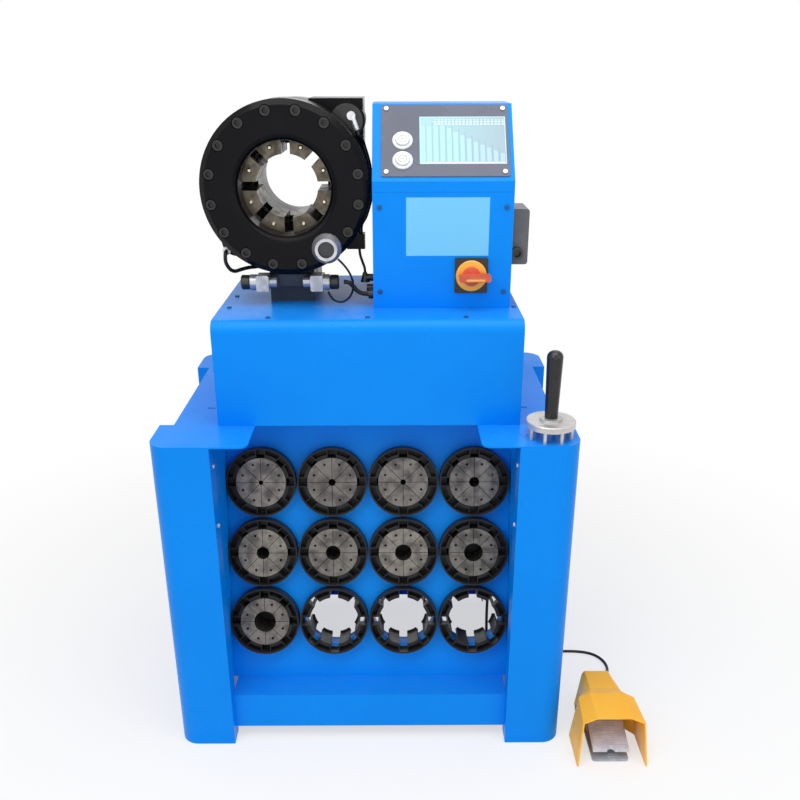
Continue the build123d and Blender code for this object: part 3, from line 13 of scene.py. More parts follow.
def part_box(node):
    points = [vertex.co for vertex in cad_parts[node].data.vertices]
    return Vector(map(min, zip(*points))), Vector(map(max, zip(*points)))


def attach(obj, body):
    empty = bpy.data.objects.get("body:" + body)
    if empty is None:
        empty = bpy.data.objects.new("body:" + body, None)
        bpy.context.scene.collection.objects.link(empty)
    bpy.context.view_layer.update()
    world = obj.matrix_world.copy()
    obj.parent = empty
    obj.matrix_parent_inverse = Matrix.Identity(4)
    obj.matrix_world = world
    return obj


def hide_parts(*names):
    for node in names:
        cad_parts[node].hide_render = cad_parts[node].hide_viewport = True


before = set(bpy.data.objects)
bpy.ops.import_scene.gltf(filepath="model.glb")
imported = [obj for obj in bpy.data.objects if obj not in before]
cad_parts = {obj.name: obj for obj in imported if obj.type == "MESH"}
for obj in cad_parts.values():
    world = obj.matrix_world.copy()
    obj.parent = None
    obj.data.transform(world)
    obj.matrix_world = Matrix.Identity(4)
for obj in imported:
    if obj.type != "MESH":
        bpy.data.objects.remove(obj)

LOG = logging.getLogger("hose_crimper")
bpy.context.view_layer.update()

Colour = tuple[float, float, float]
Point = tuple[float, float, float]
Route = tuple[Point, ...]
Feeds = dict[str | int, object]
Tree = bpy.types.NodeTree
Node = bpy.types.Node
Socket = bpy.types.NodeSocket
Material = bpy.types.Material
Piece = bpy.types.Object

RIGHT: Point = (1.0, 0.0, 0.0)
UP: Point = (0.0, 0.0, 1.0)


class Grain(Enum):
    """The fine relief that a finish carries."""

    ORANGE_PEEL = "orange_peel"
    CAST = "cast"
    BRUSHED = "brushed"
    MOULDED = "moulded"
    SMOOTH = "smooth"


class Axis(Enum):
    """The direction that a brushed grain runs along."""

    X = 0
    Y = 1
    Z = 2


# ---- shader nodes ----


def feed(tree: Tree, node: Node, feeds: Feeds) -> None:
    """Links or sets a node's inputs.

    Args:
        tree: The node's tree.
        node: The node.
        feeds: A socket to link or a value to set, by input.
    """
    for label, source in feeds.items():
        if isinstance(source, Socket):
            tree.links.new(source, node.inputs[label])
        else:
            node.inputs[label].default_value = source


def add_node(tree: Tree, kind: str, feeds: Feeds | None = None, **settings: object) -> Node:
    """Adds a shader node.

    Args:
        tree: The tree that it goes into.
        kind: Its type's name, without ShaderNode.
        feeds: What its inputs get.
        **settings: The node's own settings.

    Returns:
        The node.
    """
    node = tree.nodes.new(f"ShaderNode{kind}")
    for name, setting in settings.items():
        setattr(node, name, setting)
    feed(tree, node, feeds or {})
    return node


def seen_directly(tree: Tree) -> Socket:
    """Adds the test for what the camera sees, itself or through a reflection or glass.

    Args:
        tree: The tree that it goes into.

    Returns:
        A socket that is 1 on camera, transmission and glossy rays, and 0 on others.
    """
    add = partial(add_node, tree)
    path = add("LightPath").outputs
    either = add(
        "Math", {0: path["Is Camera Ray"], 1: path["Is Transmission Ray"]}, operation="MAXIMUM"
    )
    return add(
        "Math", {0: either.outputs[0], 1: path["Is Glossy Ray"]}, operation="MAXIMUM"
    ).outputs[0]


class EffectGroups:
    """The shader node groups that the finishes share, each built once."""

    def __init__(self) -> None:
        """Builds every group."""
        self.relief = self._relief()
        self.blotches = self._blotches()
        self.brushing = self._brushing()
        self.settled_dust = self._settled_dust()

    @staticmethod
    def _start(
        name: str, inputs: dict[str, tuple[str, object]], outputs: dict[str, str],
    ) -> tuple[Tree, Node, Node]:
        """Starts a group and its sockets.

        Args:
            name: The group's name.
            inputs: Socket type and default for each input.
            outputs: Socket type for each output.

        Returns:
            The tree, its input node and its output node.
        """
        tree = bpy.data.node_groups.new(name, "ShaderNodeTree")
        for label, (kind, default) in inputs.items():
            socket = tree.interface.new_socket(name=label, in_out="INPUT", socket_type=kind)
            if default is not None:
                socket.default_value = default
        for label, kind in outputs.items():
            tree.interface.new_socket(name=label, in_out="OUTPUT", socket_type=kind)
        return tree, tree.nodes.new("NodeGroupInput"), tree.nodes.new("NodeGroupOutput")

    def _relief(self) -> Tree:
        """Fine relief of paint, casting or moulded skin: noise at two sizes, added.

        Returns:
            The group.
        """
        tree, source, sink = self._start(
            "fine_relief",
            {"Scale": ("NodeSocketFloat", 900.0), "Second": ("NodeSocketFloat", 0.3)},
            {"Height": "NodeSocketFloat"},
        )
        add = partial(add_node, tree)
        place, scale = add("TexCoord").outputs["Object"], source.outputs["Scale"]
        wide = add("Math", {0: scale, 1: 0.22}, operation="MULTIPLY").outputs[0]
        fine = add("TexNoise", {"Vector": place, "Scale": scale, "Detail": 2.0})
        coarse = add("TexNoise", {"Vector": place, "Scale": wide, "Detail": 1.0})
        blend = add(
            "Math",
            {0: coarse.outputs["Fac"], 1: source.outputs["Second"], 2: fine.outputs["Fac"]},
            operation="MULTIPLY_ADD",
        )
        feed(tree, sink, {"Height": blend.outputs[0]})
        return tree

    def _blotches(self) -> Tree:
        """Soft variation of colour and gloss: broad noise turned into a mask and a colour.

        Returns:
            The group.
        """
        tree, source, sink = self._start(
            "blotches",
            {
                "Scale": ("NodeSocketFloat", 9.0),
                "Main": ("NodeSocketColor", (0.5, 0.5, 0.5, 1.0)),
                "Other": ("NodeSocketColor", (0.4, 0.4, 0.4, 1.0)),
            },
            {"Colour": "NodeSocketColor", "Mask": "NodeSocketFloat"},
        )
        add = partial(add_node, tree)
        noise = add("TexNoise", {
            "Vector": add("TexCoord").outputs["Object"], "Scale": source.outputs["Scale"],
            "Detail": 5.0, "Roughness": 0.6,
        })
        mask = add(
            "MapRange", {"Value": noise.outputs["Fac"], "From Min": 0.38, "From Max": 0.66},
            interpolation_type="SMOOTHSTEP",
        ).outputs["Result"]
        mix = add(
            "Mix", {"Factor": mask, 6: source.outputs["Main"], 7: source.outputs["Other"]},
            data_type="RGBA",
        )
        feed(tree, sink, {"Colour": mix.outputs[2], "Mask": mask})
        return tree

    def _brushing(self) -> Tree:
        """Fine parallel scratches: noise stretched along one direction by a vector scale.

        Returns:
            The group.
        """
        tree, source, sink = self._start(
            "brushing",
            {"Stretch": ("NodeSocketVector", (1.0, 1.0, 1.0))},
            {"Height": "NodeSocketFloat"},
        )
        add = partial(add_node, tree)
        scale = add(
            "VectorMath",
            {0: add("TexCoord").outputs["Object"], 1: source.outputs["Stretch"]},
            operation="MULTIPLY",
        )
        noise = add("TexNoise", {"Vector": scale.outputs[0], "Scale": 60.0, "Detail": 3.0})
        feed(tree, sink, {"Height": noise.outputs["Fac"]})
        return tree

    def _settled_dust(self) -> Tree:
        """Dust on faces that look up: the normal's rise times a broken noise.

        Returns:
            The group.
        """
        tree, source, sink = self._start(
            "settled_dust",
            {
                "Colour": ("NodeSocketColor", (0.5, 0.5, 0.5, 1.0)),
                "Dust": ("NodeSocketColor", (0.6, 0.58, 0.55, 1.0)),
                "Amount": ("NodeSocketFloat", 0.1),
            },
            {"Colour": "NodeSocketColor"},
        )
        add = partial(add_node, tree)
        split = add("SeparateXYZ", {0: add("NewGeometry").outputs["Normal"]})
        rise = add("MapRange", {"Value": split.outputs["Z"], "From Min": 0.2, "From Max": 1.0})
        noise = add("TexNoise", {
            "Vector": add("TexCoord").outputs["Object"], "Scale": 35.0, "Detail": 6.0,
        })
        product = add(
            "Math", {0: rise.outputs["Result"], 1: noise.outputs["Fac"]}, operation="MULTIPLY"
        )
        amount = add(
            "Math", {0: product.outputs[0], 1: source.outputs["Amount"]}, operation="MULTIPLY"
        )
        mix = add(
            "Mix",
            {"Factor": amount.outputs[0], 6: source.outputs["Colour"], 7: source.outputs["Dust"]},
            data_type="RGBA",
        )
        feed(tree, sink, {"Colour": mix.outputs[2]})
        return tree


# ---- finishes ----


@dataclass(frozen=True)
class Zone:
    """A part of a piece with a colour of its own, bounded by a distance or a coordinate.

    The zone is where the measure is above the limit, or below it if inside is set. The
    measure is the distance from a line along an axis through centre, or, with along set, the
    coordinate itself.
    """

    colour: Colour
    metallic: float
    axis: Axis
    limit: float
    centre: Point = (0.0, 0.0, 0.0)
    along: bool = True
    inside: bool = False


@dataclass(frozen=True)
class Finish:
    """A surface finish: colours, gloss, metal and relief."""

    name: str
    colour: Colour
    other: Colour
    roughness: float
    metallic: float = 0.0
    specular: float = 0.5
    grain: Grain = Grain.SMOOTH
    grain_depth: float = 0.15
    blotch_scale: float = 9.0
    gloss_swing: float = 0.08
    dust: float = 0.0
    brushed_along: Axis = Axis.X
    zones: tuple[Zone, ...] = field(default=())

    def build(self, groups: EffectGroups) -> Material:
        """Makes the material.

        Args:
            groups: The shared effect groups.

        Returns:
            The finished material.
        """
        material = bpy.data.materials.new(self.name)
        material.use_nodes = True
        tree = material.node_tree
        add = partial(add_node, tree)
        shader = tree.nodes["Principled BSDF"]
        blotches = add(
            "Group",
            {"Scale": self.blotch_scale, "Main": (*self.colour, 1.0), "Other": (*self.other, 1.0)},
            node_tree=groups.blotches,
        )
        colour, metal = blotches.outputs["Colour"], self.metallic
        for zone in self.zones:
            colour, metal = self._paint_zone(tree, zone, colour, metal)
        if self.dust > 0.0:
            dusty = {"Amount": self.dust, "Colour": colour}
            colour = add("Group", dusty, node_tree=groups.settled_dust).outputs["Colour"]
        gloss = add("MapRange", {
            "Value": blotches.outputs["Mask"], "To Min": self.roughness - self.gloss_swing,
            "To Max": self.roughness + self.gloss_swing,
        })
        feed(tree, shader, {
            "Specular IOR Level": self.specular, "Base Color": colour, "Metallic": metal,
            "Roughness": gloss.outputs["Result"],
        })
        self._relief(tree, groups, shader)
        return material

    @staticmethod
    def _paint_zone(
        tree: Tree, zone: Zone, colour: Socket, metal: Socket | float,
    ) -> tuple[Socket, Socket]:
        """Mixes a zone's colour and metal over what lies below it.

        Args:
            tree: The material's node tree.
            zone: The zone.
            colour: The colour socket so far.
            metal: The metallic socket so far, or the value where there is none yet.

        Returns:
            The new colour and metallic sockets.
        """
        add = partial(add_node, tree)
        place = {0: add("TexCoord").outputs["Object"], 1: zone.centre}
        shift = add("VectorMath", place, operation="SUBTRACT").outputs[0]
        if zone.along:
            measure = add("SeparateXYZ", {0: shift}).outputs[zone.axis.value]
        else:
            keep = [1.0, 1.0, 1.0]
            keep[zone.axis.value] = 0.0
            flat = add("VectorMath", {0: shift, 1: keep}, operation="MULTIPLY").outputs[0]
            measure = add("VectorMath", {0: flat}, operation="LENGTH").outputs["Value"]
        test = add(
            "Math", {0: measure, 1: zone.limit},
            operation="LESS_THAN" if zone.inside else "GREATER_THAN",
        ).outputs[0]
        painted = {"Factor": test, 6: colour, 7: (*zone.colour, 1.0)}
        mix = add("Mix", painted, data_type="RGBA")
        metals = add("Mix", {"Factor": test, 2: metal, 3: zone.metallic}, data_type="FLOAT")
        return mix.outputs[2], metals.outputs[0]

    def _relief(self, tree: Tree, groups: EffectGroups, shader: Node) -> None:
        """Adds the finish's fine relief through a Bump node.

        Args:
            tree: The material's node tree.
            groups: The shared effect groups.
            shader: The material's Principled BSDF.
        """
        if self.grain is Grain.SMOOTH:
            return
        add = partial(add_node, tree)
        if self.grain is Grain.BRUSHED:
            stretch = [14.0, 14.0, 14.0]
            stretch[self.brushed_along.value] = 0.6
            height = add("Group", {"Stretch": stretch}, node_tree=groups.brushing)
        else:
            scale, second = {
                Grain.ORANGE_PEEL: (420.0, 0.6),
                Grain.CAST: (300.0, 1.4),
                Grain.MOULDED: (1500.0, 0.2),
            }[self.grain]
            height = add("Group", {"Scale": scale, "Second": second}, node_tree=groups.relief)
        bump = add("Bump", {
            "Strength": self.grain_depth, "Distance": 0.0006, "Height": height.outputs["Height"],
        })
        feed(tree, shader, {"Normal": bump.outputs["Normal"]})


HEAD_CENTRE: Point = (-0.141, 0.0, 1.055)
RING_FACE_Y = -0.0815
MASTER_DIES = range(1, 9)
DIE_SETS = range(1, 10)
EMPTY_COLUMNS = slice(1, 4)
BLACK_PLASTIC: Colour = (0.013, 0.013, 0.014)
ZINC: Colour = (0.62, 0.63, 0.65)

BLUE_COAT = Finish(
    "blue_powder_coat", (0.0, 0.25, 0.86), (0.0, 0.237, 0.82), 0.34, specular=0.10,
    grain=Grain.ORANGE_PEEL, grain_depth=0.05, blotch_scale=3.0, dust=0.03,
)
HEAD_PAINT = Finish(
    "head_black_enamel", (0.0018, 0.0017, 0.0028), (0.0040, 0.0038, 0.0050), 0.25, specular=0.09,
    grain=Grain.ORANGE_PEEL, grain_depth=0.10, blotch_scale=12.0, dust=0.02,
)
PEDESTAL_PAINT = Finish(
    "pedestal_grey", (0.043, 0.056, 0.076), (0.032, 0.042, 0.058), 0.42, specular=0.2,
    grain=Grain.CAST, grain_depth=0.12, blotch_scale=14.0,
)
BLACK_OXIDE = Finish(
    "black_oxide_screws", (0.014, 0.014, 0.016), (0.03, 0.029, 0.029), 0.34, metallic=0.3,
    specular=0.35, blotch_scale=90.0, gloss_swing=0.12,
)
MASTER_STEEL = Finish(
    "oiled_master_die_steel", (0.13, 0.115, 0.088), (0.075, 0.064, 0.048), 0.36, metallic=0.8,
    grain=Grain.BRUSHED, grain_depth=0.3, blotch_scale=45.0, brushed_along=Axis.Y,
    zones=(Zone((0.66, 0.58, 0.45), 1.0, Axis.Y, RING_FACE_Y + 0.0516, inside=True),),
)
RAM_STEEL = Finish(
    "ground_ram_steel", (0.27, 0.26, 0.25), (0.20, 0.195, 0.185), 0.28, metallic=1.0,
    grain=Grain.BRUSHED, grain_depth=0.15, blotch_scale=20.0, brushed_along=Axis.Y,
)
SEAL_RUBBER = Finish(
    "seal_rubber", (0.10, 0.045, 0.02), (0.08, 0.035, 0.015), 0.5, grain=Grain.MOULDED,
)
ZINC_PLATE = Finish(
    "zinc_plate", ZINC, (0.34, 0.35, 0.37), 0.3, metallic=0.8,
    grain=Grain.BRUSHED, grain_depth=0.12, blotch_scale=60.0,
)
PORT_FINISH = Finish(
    "port_plate_and_elbow", (0.60, 0.61, 0.63), (0.42, 0.43, 0.45), 0.3, metallic=0.8,
    blotch_scale=70.0,
    zones=(Zone((0.006, 0.006, 0.007), 0.0, Axis.Y, RING_FACE_Y + 0.0779),),
)
TUBE_BLACK = Finish(
    "black_tube", (0.008, 0.008, 0.010), (0.014, 0.014, 0.016), 0.3, specular=0.3,
    blotch_scale=40.0,
)
LAMP_FINISH = Finish(
    "lamp_aluminium", (0.46, 0.45, 0.48), (0.36, 0.355, 0.38), 0.32, metallic=0.75,
    blotch_scale=50.0,
    zones=(Zone((0.02, 0.022, 0.025), 0.1, Axis.Y, 0.0146, (-0.0686, 0.0, 0.9535), False, True),),
)
SENSOR_FINISH = Finish(
    "sensor_clamp_aluminium", (0.46, 0.47, 0.50), (0.34, 0.35, 0.38), 0.34, metallic=0.6,
    grain=Grain.BRUSHED, grain_depth=0.12, blotch_scale=50.0,
    zones=(
        Zone(BLACK_PLASTIC, 0.0, Axis.X, HEAD_CENTRE[0] + 0.0736),
        Zone(BLACK_PLASTIC, 0.0, Axis.X, HEAD_CENTRE[0] - 0.0736, inside=True),
    ),
)
CONSOLE_SKIN = Finish(
    "console_grey_violet", (0.095, 0.105, 0.145), (0.115, 0.125, 0.170), 0.28, specular=0.3,
    grain=Grain.MOULDED, grain_depth=0.05, blotch_scale=5.0,
)
SWITCH_FINISH = Finish(
    "switch_plate_and_bezel", (0.024, 0.021, 0.020), (0.016, 0.016, 0.016), 0.4, specular=0.3,
    grain=Grain.MOULDED, grain_depth=0.05,
    zones=(Zone((1.0, 0.46, 0.065), 0.0, Axis.Y, -0.0806, inside=True),),
)
HANDLE_RED = Finish(
    "switch_red", (0.68, 0.105, 0.05), (0.58, 0.075, 0.035), 0.36, blotch_scale=40.0,
)
INSERT_YELLOW = Finish(
    "insert_yellow", (0.90, 0.47, 0.09), (0.82, 0.40, 0.07), 0.4, blotch_scale=40.0,
)
BUTTON_WHITE = Finish(
    "button_white", (0.76, 0.78, 0.79), (0.68, 0.70, 0.71), 0.28, blotch_scale=60.0,
)
BUTTON_MARK = Finish(
    "button_mark_grey", (0.42, 0.42, 0.44), (0.38, 0.38, 0.40), 0.4, blotch_scale=60.0,
)
JUNCTION_GREY = Finish(
    "junction_box_grey", (0.10, 0.102, 0.108), (0.13, 0.132, 0.138), 0.4, specular=0.3,
    grain=Grain.MOULDED, grain_depth=0.12, blotch_scale=16.0, dust=0.25,
)
GLAND_FINISH = Finish(
    "gland_black_and_white", BLACK_PLASTIC, (0.02, 0.02, 0.02), 0.38, grain=Grain.MOULDED,
    grain_depth=0.05,
)
HOLDER_PLASTIC = Finish(
    "holder_black_plastic", (0.0085, 0.0085, 0.011), (0.014, 0.014, 0.016), 0.40, specular=0.2,
    grain=Grain.MOULDED, grain_depth=0.12, blotch_scale=26.0, dust=0.08,
)
GRIP_PLASTIC = Finish(
    "grip_black_plastic", (0.010, 0.010, 0.011), (0.015, 0.015, 0.016), 0.24, specular=0.4,
    grain=Grain.MOULDED, grain_depth=0.04, blotch_scale=30.0,
)
TOOL_STEEL = Finish(
    "tool_steel", (0.62, 0.60, 0.58), (0.48, 0.465, 0.45), 0.34, metallic=0.55,
    grain=Grain.BRUSHED, grain_depth=0.06, blotch_scale=25.0,
)
GUARD_PAINT = Finish(
    "guard_yellow_enamel", (1.0, 0.51, 0.055), (1.0, 0.47, 0.045), 0.34, specular=0.14,
    grain=Grain.ORANGE_PEEL, grain_depth=0.06, blotch_scale=9.0,
)
TREAD_ALUMINIUM = Finish(
    "tread_aluminium", (0.64, 0.64, 0.72), (0.52, 0.52, 0.59), 0.42, metallic=0.1,
    grain=Grain.CAST, grain_depth=0.12, blotch_scale=40.0,
)
PEDAL_CASTING = Finish(
    "pedal_casting_grey", (0.44, 0.48, 0.55), (0.34, 0.375, 0.43), 0.42, metallic=0.1,
    grain=Grain.CAST, grain_depth=0.14, blotch_scale=40.0,
    zones=(
        Zone((0.03, 0.03, 0.032), 0.6, Axis.X, 0.5079),
        Zone((0.03, 0.03, 0.032), 0.6, Axis.X, 0.4351, inside=True),
    ),
)
SHEATH = Finish(
    "lead_sheath", (0.008, 0.008, 0.009), (0.012, 0.012, 0.013), 0.45, specular=0.3,
    grain=Grain.MOULDED, grain_depth=0.06, blotch_scale=60.0,
)
RESERVOIR_SHEET = Finish(
    "reservoir_sheet", (0.30, 0.31, 0.32), (0.22, 0.23, 0.24), 0.4, metallic=0.8,
    grain=Grain.BRUSHED, grain_depth=0.1, blotch_scale=12.0,
)
MOTOR_PAINT = Finish(
    "motor_grey_paint", (0.10, 0.12, 0.15), (0.08, 0.10, 0.12), 0.45, grain=Grain.CAST,
    grain_depth=0.12,
)
LABEL_BLUE = Finish(
    "bare_label_light_blue", (0.175, 0.56, 0.87), (0.17, 0.55, 0.86), 0.42, specular=0.2,
    blotch_scale=6.0, gloss_swing=0.03,
)
SCREW_MIX = Finish(
    "panel_screw_mix", (0.0, 0.08, 0.26), (0.0, 0.06, 0.20), 0.4, metallic=0.2, blotch_scale=80.0,
    zones=(
        Zone(ZINC, 0.8, Axis.Z, 1.075),
        Zone(ZINC, 0.8, Axis.Z, 0.62, inside=True),
    ),
)
DIE_TONES: tuple[Colour, ...] = (
    (0.155, 0.142, 0.135), (0.125, 0.115, 0.110), (0.135, 0.127, 0.120), (0.125, 0.118, 0.115),
    (0.185, 0.172, 0.150), (0.145, 0.135, 0.125), (0.175, 0.162, 0.145), (0.125, 0.117, 0.108),
    (0.170, 0.158, 0.148),
)


def die_steel(number: int) -> Finish:
    """The ground and oiled steel of one die set.

    Args:
        number: The set's place in the rack, from 1.

    Returns:
        The finish, with the set's own shade.
    """
    tone = DIE_TONES[number - 1]
    darker = tuple(0.55 * part for part in tone)
    return Finish(
        f"die_steel_{number}", tone, darker, 0.4, metallic=0.8, grain=Grain.BRUSHED,
        grain_depth=0.25, blotch_scale=38.0 + number, gloss_swing=0.12,
    )


# ---- surfaces on grids ----


def grid_faces(rows: int, columns: int, closed_rows: bool, closed_columns: bool) -> np.ndarray:
    """The quads of a grid of points.

    Args:
        rows: Points along the first parameter.
        columns: Points along the second parameter.
        closed_rows: Whether the first parameter wraps round.
        closed_columns: Whether the second parameter wraps round.

    Returns:
        An array of four point numbers for each quad.
    """
    i = np.arange(rows if closed_rows else rows - 1)
    j = np.arange(columns if closed_columns else columns - 1)
    i, j = np.meshgrid(i, j, indexing="ij")
    i_next, j_next = (i + 1) % rows, (j + 1) % columns
    quads = np.stack(
        [i * columns + j, i_next * columns + j, i_next * columns + j_next, i * columns + j_next],
        axis=-1,
    )
    return quads.reshape(-1, 4)


def mesh_object(
    name: str, points: np.ndarray, quads: np.ndarray, smooth: bool = True,
    colours: np.ndarray | None = None,
) -> Piece:
    """Puts points and quads into a mesh.

    Args:
        name: The piece's name.
        points: An array of points, in metres, in the row's frame.
        quads: An array of faces of one size.
        smooth: Whether the faces are shaded smooth.
        colours: A colour for each point, or None.

    Returns:
        The object, linked to the scene.
    """
    mesh = bpy.data.meshes.new(name)
    size = quads.shape[1]
    mesh.vertices.add(len(points))
    mesh.vertices.foreach_set("co", np.asarray(points, dtype=np.float32).ravel())
    mesh.loops.add(quads.size)
    mesh.loops.foreach_set("vertex_index", np.asarray(quads, dtype=np.int32).ravel())
    mesh.polygons.add(len(quads))
    mesh.polygons.foreach_set("loop_start", np.arange(0, quads.size, size, dtype=np.int32))
    mesh.polygons.foreach_set("use_smooth", np.full(len(quads), smooth))
    mesh.update(calc_edges=True)
    mesh.validate()
    if colours is not None:
        layer = mesh.attributes.new("display", "FLOAT_COLOR", "POINT")
        layer.data.foreach_set("color", np.asarray(colours, dtype=np.float32).ravel())
    piece = bpy.data.objects.new(name, mesh)
    bpy.context.scene.collection.objects.link(piece)
    return piece


def close_poles(piece: Piece) -> None:
    """Joins the points that a turned piece has on its own axis.

    Args:
        piece: The turned piece.
    """
    work = bmesh.new()
    work.from_mesh(piece.data)
    bmesh.ops.remove_doubles(work, verts=work.verts, dist=1e-6)
    work.to_mesh(piece.data)
    work.free()


@dataclass(frozen=True)
class Plate:
    """A thin plate with rounded corners on a plane: an origin, a right and an up direction."""

    name: str
    origin: Point
    right: Point
    up: Point
    width: float
    height: float
    thickness: float
    corner: float = 0.002
    edge: float = 0.0003

    def build(self) -> Piece:
        """Makes the plate.

        Its outline is a rounded rectangle. Rings of that outline run up the side, over a
        small rounded edge and to the middle, each a copy drawn in by some inset.

        Returns:
            The plate.
        """
        steps = 6
        sweep = np.linspace(0.0, math.pi / 2, steps)
        centres = np.array([(1, 1), (-1, 1), (-1, -1), (1, -1)], dtype=float)
        turns = np.arange(4) * math.pi / 2
        angle = (turns[:, None] + sweep[None, :]).ravel()
        corner_of = np.repeat(np.arange(4), steps)
        half = np.array([self.width, self.height]) / 2
        insets = [0.0, 0.0, self.edge * 0.3, self.edge]
        lifts = [0.0, self.thickness - self.edge, self.thickness - self.edge * 0.3, self.thickness]
        rings = []
        for inset, lift in zip(insets, lifts):
            radius = max(self.corner - inset, 1e-5)
            middle = centres[corner_of] * (half - self.corner)
            flat = middle + radius * np.stack([np.cos(angle), np.sin(angle)], axis=1)
            rings.append(np.column_stack([flat, np.full(len(flat), lift)]))
        last = rings[-1]
        for share in (0.5, 0.0005):
            rings.append(np.column_stack([last[:, :2] * share, np.full(len(last), self.thickness)]))
        local = np.stack(rings)
        right, up = np.array(self.right), np.array(self.up)
        normal = np.cross(right, up)
        points = (
            np.array(self.origin) + local[..., :1] * right + local[..., 1:2] * up
            + local[..., 2:] * normal
        )
        quads = grid_faces(*points.shape[:2], False, True)[:, ::-1]
        return mesh_object(self.name, points.reshape(-1, 3), quads, smooth=False)


@dataclass(frozen=True)
class Turned:
    """A turned piece: a profile of (radius, distance) carried round an axis."""

    name: str
    origin: Point
    right: Point
    up: Point
    profile: tuple[tuple[float, float], ...]
    steps: int = 48
    smooth: bool = True

    def build(self) -> Piece:
        """Makes the surface: each profile point goes round the circle of its radius.

        Returns:
            The piece.
        """
        radius, distance = np.array(self.profile).T
        angle = np.linspace(0.0, 2 * math.pi, self.steps, endpoint=False)
        right, up = np.array(self.right), np.array(self.up)
        normal = np.cross(right, up)
        points = (
            np.array(self.origin)
            + radius[:, None, None] * np.cos(angle)[None, :, None] * right
            + radius[:, None, None] * np.sin(angle)[None, :, None] * up
            + distance[:, None, None] * normal
        )
        quads = grid_faces(len(radius), self.steps, False, True)[:, ::-1]
        piece = mesh_object(self.name, points.reshape(-1, 3), quads, self.smooth)
        if 0.0 in radius:
            close_poles(piece)
        return piece


def finish_piece(
    piece: Piece, material: Material, body: str = "machine",
) -> None:
    """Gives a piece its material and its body.

    Args:
        piece: The piece.
        material: Its material.
        body: The body that it moves with.
    """
    piece.data.materials.append(material)
    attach(piece, body)


# ---- leads ----


@dataclass(frozen=True)
class Lead:
    """A flexible lead on one smooth curve through its route's control points, in metres."""

    name: str
    route: Route
    diameter: float

    def build(self, material: Material) -> Piece:
        """Makes the lead as a NURBS curve with a round section.

        Args:
            material: The sheath's material.

        Returns:
            The curve object.
        """
        curve = bpy.data.curves.new(self.name, "CURVE")
        curve.dimensions = "3D"
        curve.resolution_u = 8
        curve.bevel_depth = self.diameter / 2
        curve.bevel_resolution = 4
        curve.use_fill_caps = True
        spline = curve.splines.new("NURBS")
        spline.points.add(len(self.route) - 1)
        weights = np.column_stack([np.array(self.route), np.ones(len(self.route))])
        spline.points.foreach_set("co", weights.astype(np.float32).ravel())
        spline.order_u = 3
        spline.use_endpoint_u = True
        piece = bpy.data.objects.new(self.name, curve)
        bpy.context.scene.collection.objects.link(piece)
        piece.data.materials.append(material)
        return piece


PEDAL_CORD_DROP: Route = (
    (0.262, 0.050, 0.624), (0.262, 0.050, 0.560), (0.264, 0.049, 0.475), (0.267, 0.048, 0.390),
    (0.268, 0.048, 0.305), (0.266, 0.049, 0.225), (0.263, 0.050, 0.155), (0.262, 0.050, 0.108),
    (0.262, 0.047, 0.072), (0.262, 0.038, 0.048), (0.262, 0.023, 0.028), (0.262, 0.001, 0.018),
    (0.262, -0.022, 0.0166),
)
PEDAL_CORD_FLOOR: Route = (
    (0.249, 0.0173, 0.0035), (0.288, 0.019, 0.0035), (0.330, 0.0175, 0.0035),
    (0.372, 0.017, 0.0035), (0.412, 0.0195, 0.0035), (0.450, 0.022, 0.0035),
    (0.485, 0.019, 0.0035), (0.510, 0.008, 0.0035), (0.525, -0.014, 0.0035),
    (0.529, -0.040, 0.004), (0.522, -0.067, 0.008), (0.511, -0.087, 0.016),
    (0.500, -0.106, 0.025), (0.4935, -0.127, 0.030), (0.4935, -0.149, 0.030),
)
LAMP_CABLE: Route = (
    (-0.0488, -0.090, 0.9349), (-0.038, -0.090, 0.9247), (-0.027, -0.086, 0.907),
    (-0.022, -0.077, 0.886), (-0.026, -0.066, 0.865), (-0.040, -0.060, 0.849),
    (-0.057, -0.061, 0.850), (-0.066, -0.065, 0.860), (-0.070, -0.066, 0.8705),
)
BOOT_CABLE: Route = (
    (-0.014, 0.018, 0.935), (-0.014, 0.018, 0.924), (-0.009, 0.014, 0.910),
    (-0.004, 0.010, 0.898), (-0.004, 0.010, 0.890),
)
SENSOR_CABLE: Route = (
    (-0.0415, -0.0515, 0.885), (-0.031, -0.0515, 0.885), (-0.024, -0.050, 0.876),
    (-0.016, -0.050, 0.866), (-0.005, -0.050, 0.862), (0.004, -0.050, 0.862),
)


@dataclass(frozen=True)
class CoiledLead:
    """The pedal's lead: down from its gland, four turns on the floor, and out to the pedal."""

    diameter: float = 0.0065
    centre: tuple[float, float] = (0.226, -0.022)
    inner: float = 0.0330
    outer: float = 0.0398
    per_turn: int = 16

    def route(self) -> Route:
        """The control points of the whole lead.

        The coil's turns run clockwise: radius and height are given at whole turns and go
        from one to the next in between.

        Returns:
            The points, from the gland to the pedal.
        """
        turns = np.arange(1, int(3.75 * self.per_turn)) / self.per_turn
        knots = [0.0, 0.35, 1.0, 1.3, 2.0, 2.3, 3.0, 3.25, 3.75]
        radii = [0.0365, self.outer, self.outer, self.inner, self.inner, self.inner,
                 self.inner, self.outer, self.outer]
        heights = [0.0160, 0.0100, 0.0100, 0.0098, 0.0098, 0.0036, 0.0034, 0.0034, 0.0034]
        radius = np.interp(turns, knots, radii)
        height = np.interp(turns, knots, heights)
        angle = -2 * math.pi * turns
        x = self.centre[0] + radius * np.cos(angle)
        y = self.centre[1] + radius * np.sin(angle)
        coil = tuple(map(tuple, np.column_stack([x, y, height]).tolist()))
        return PEDAL_CORD_DROP + coil + PEDAL_CORD_FLOOR


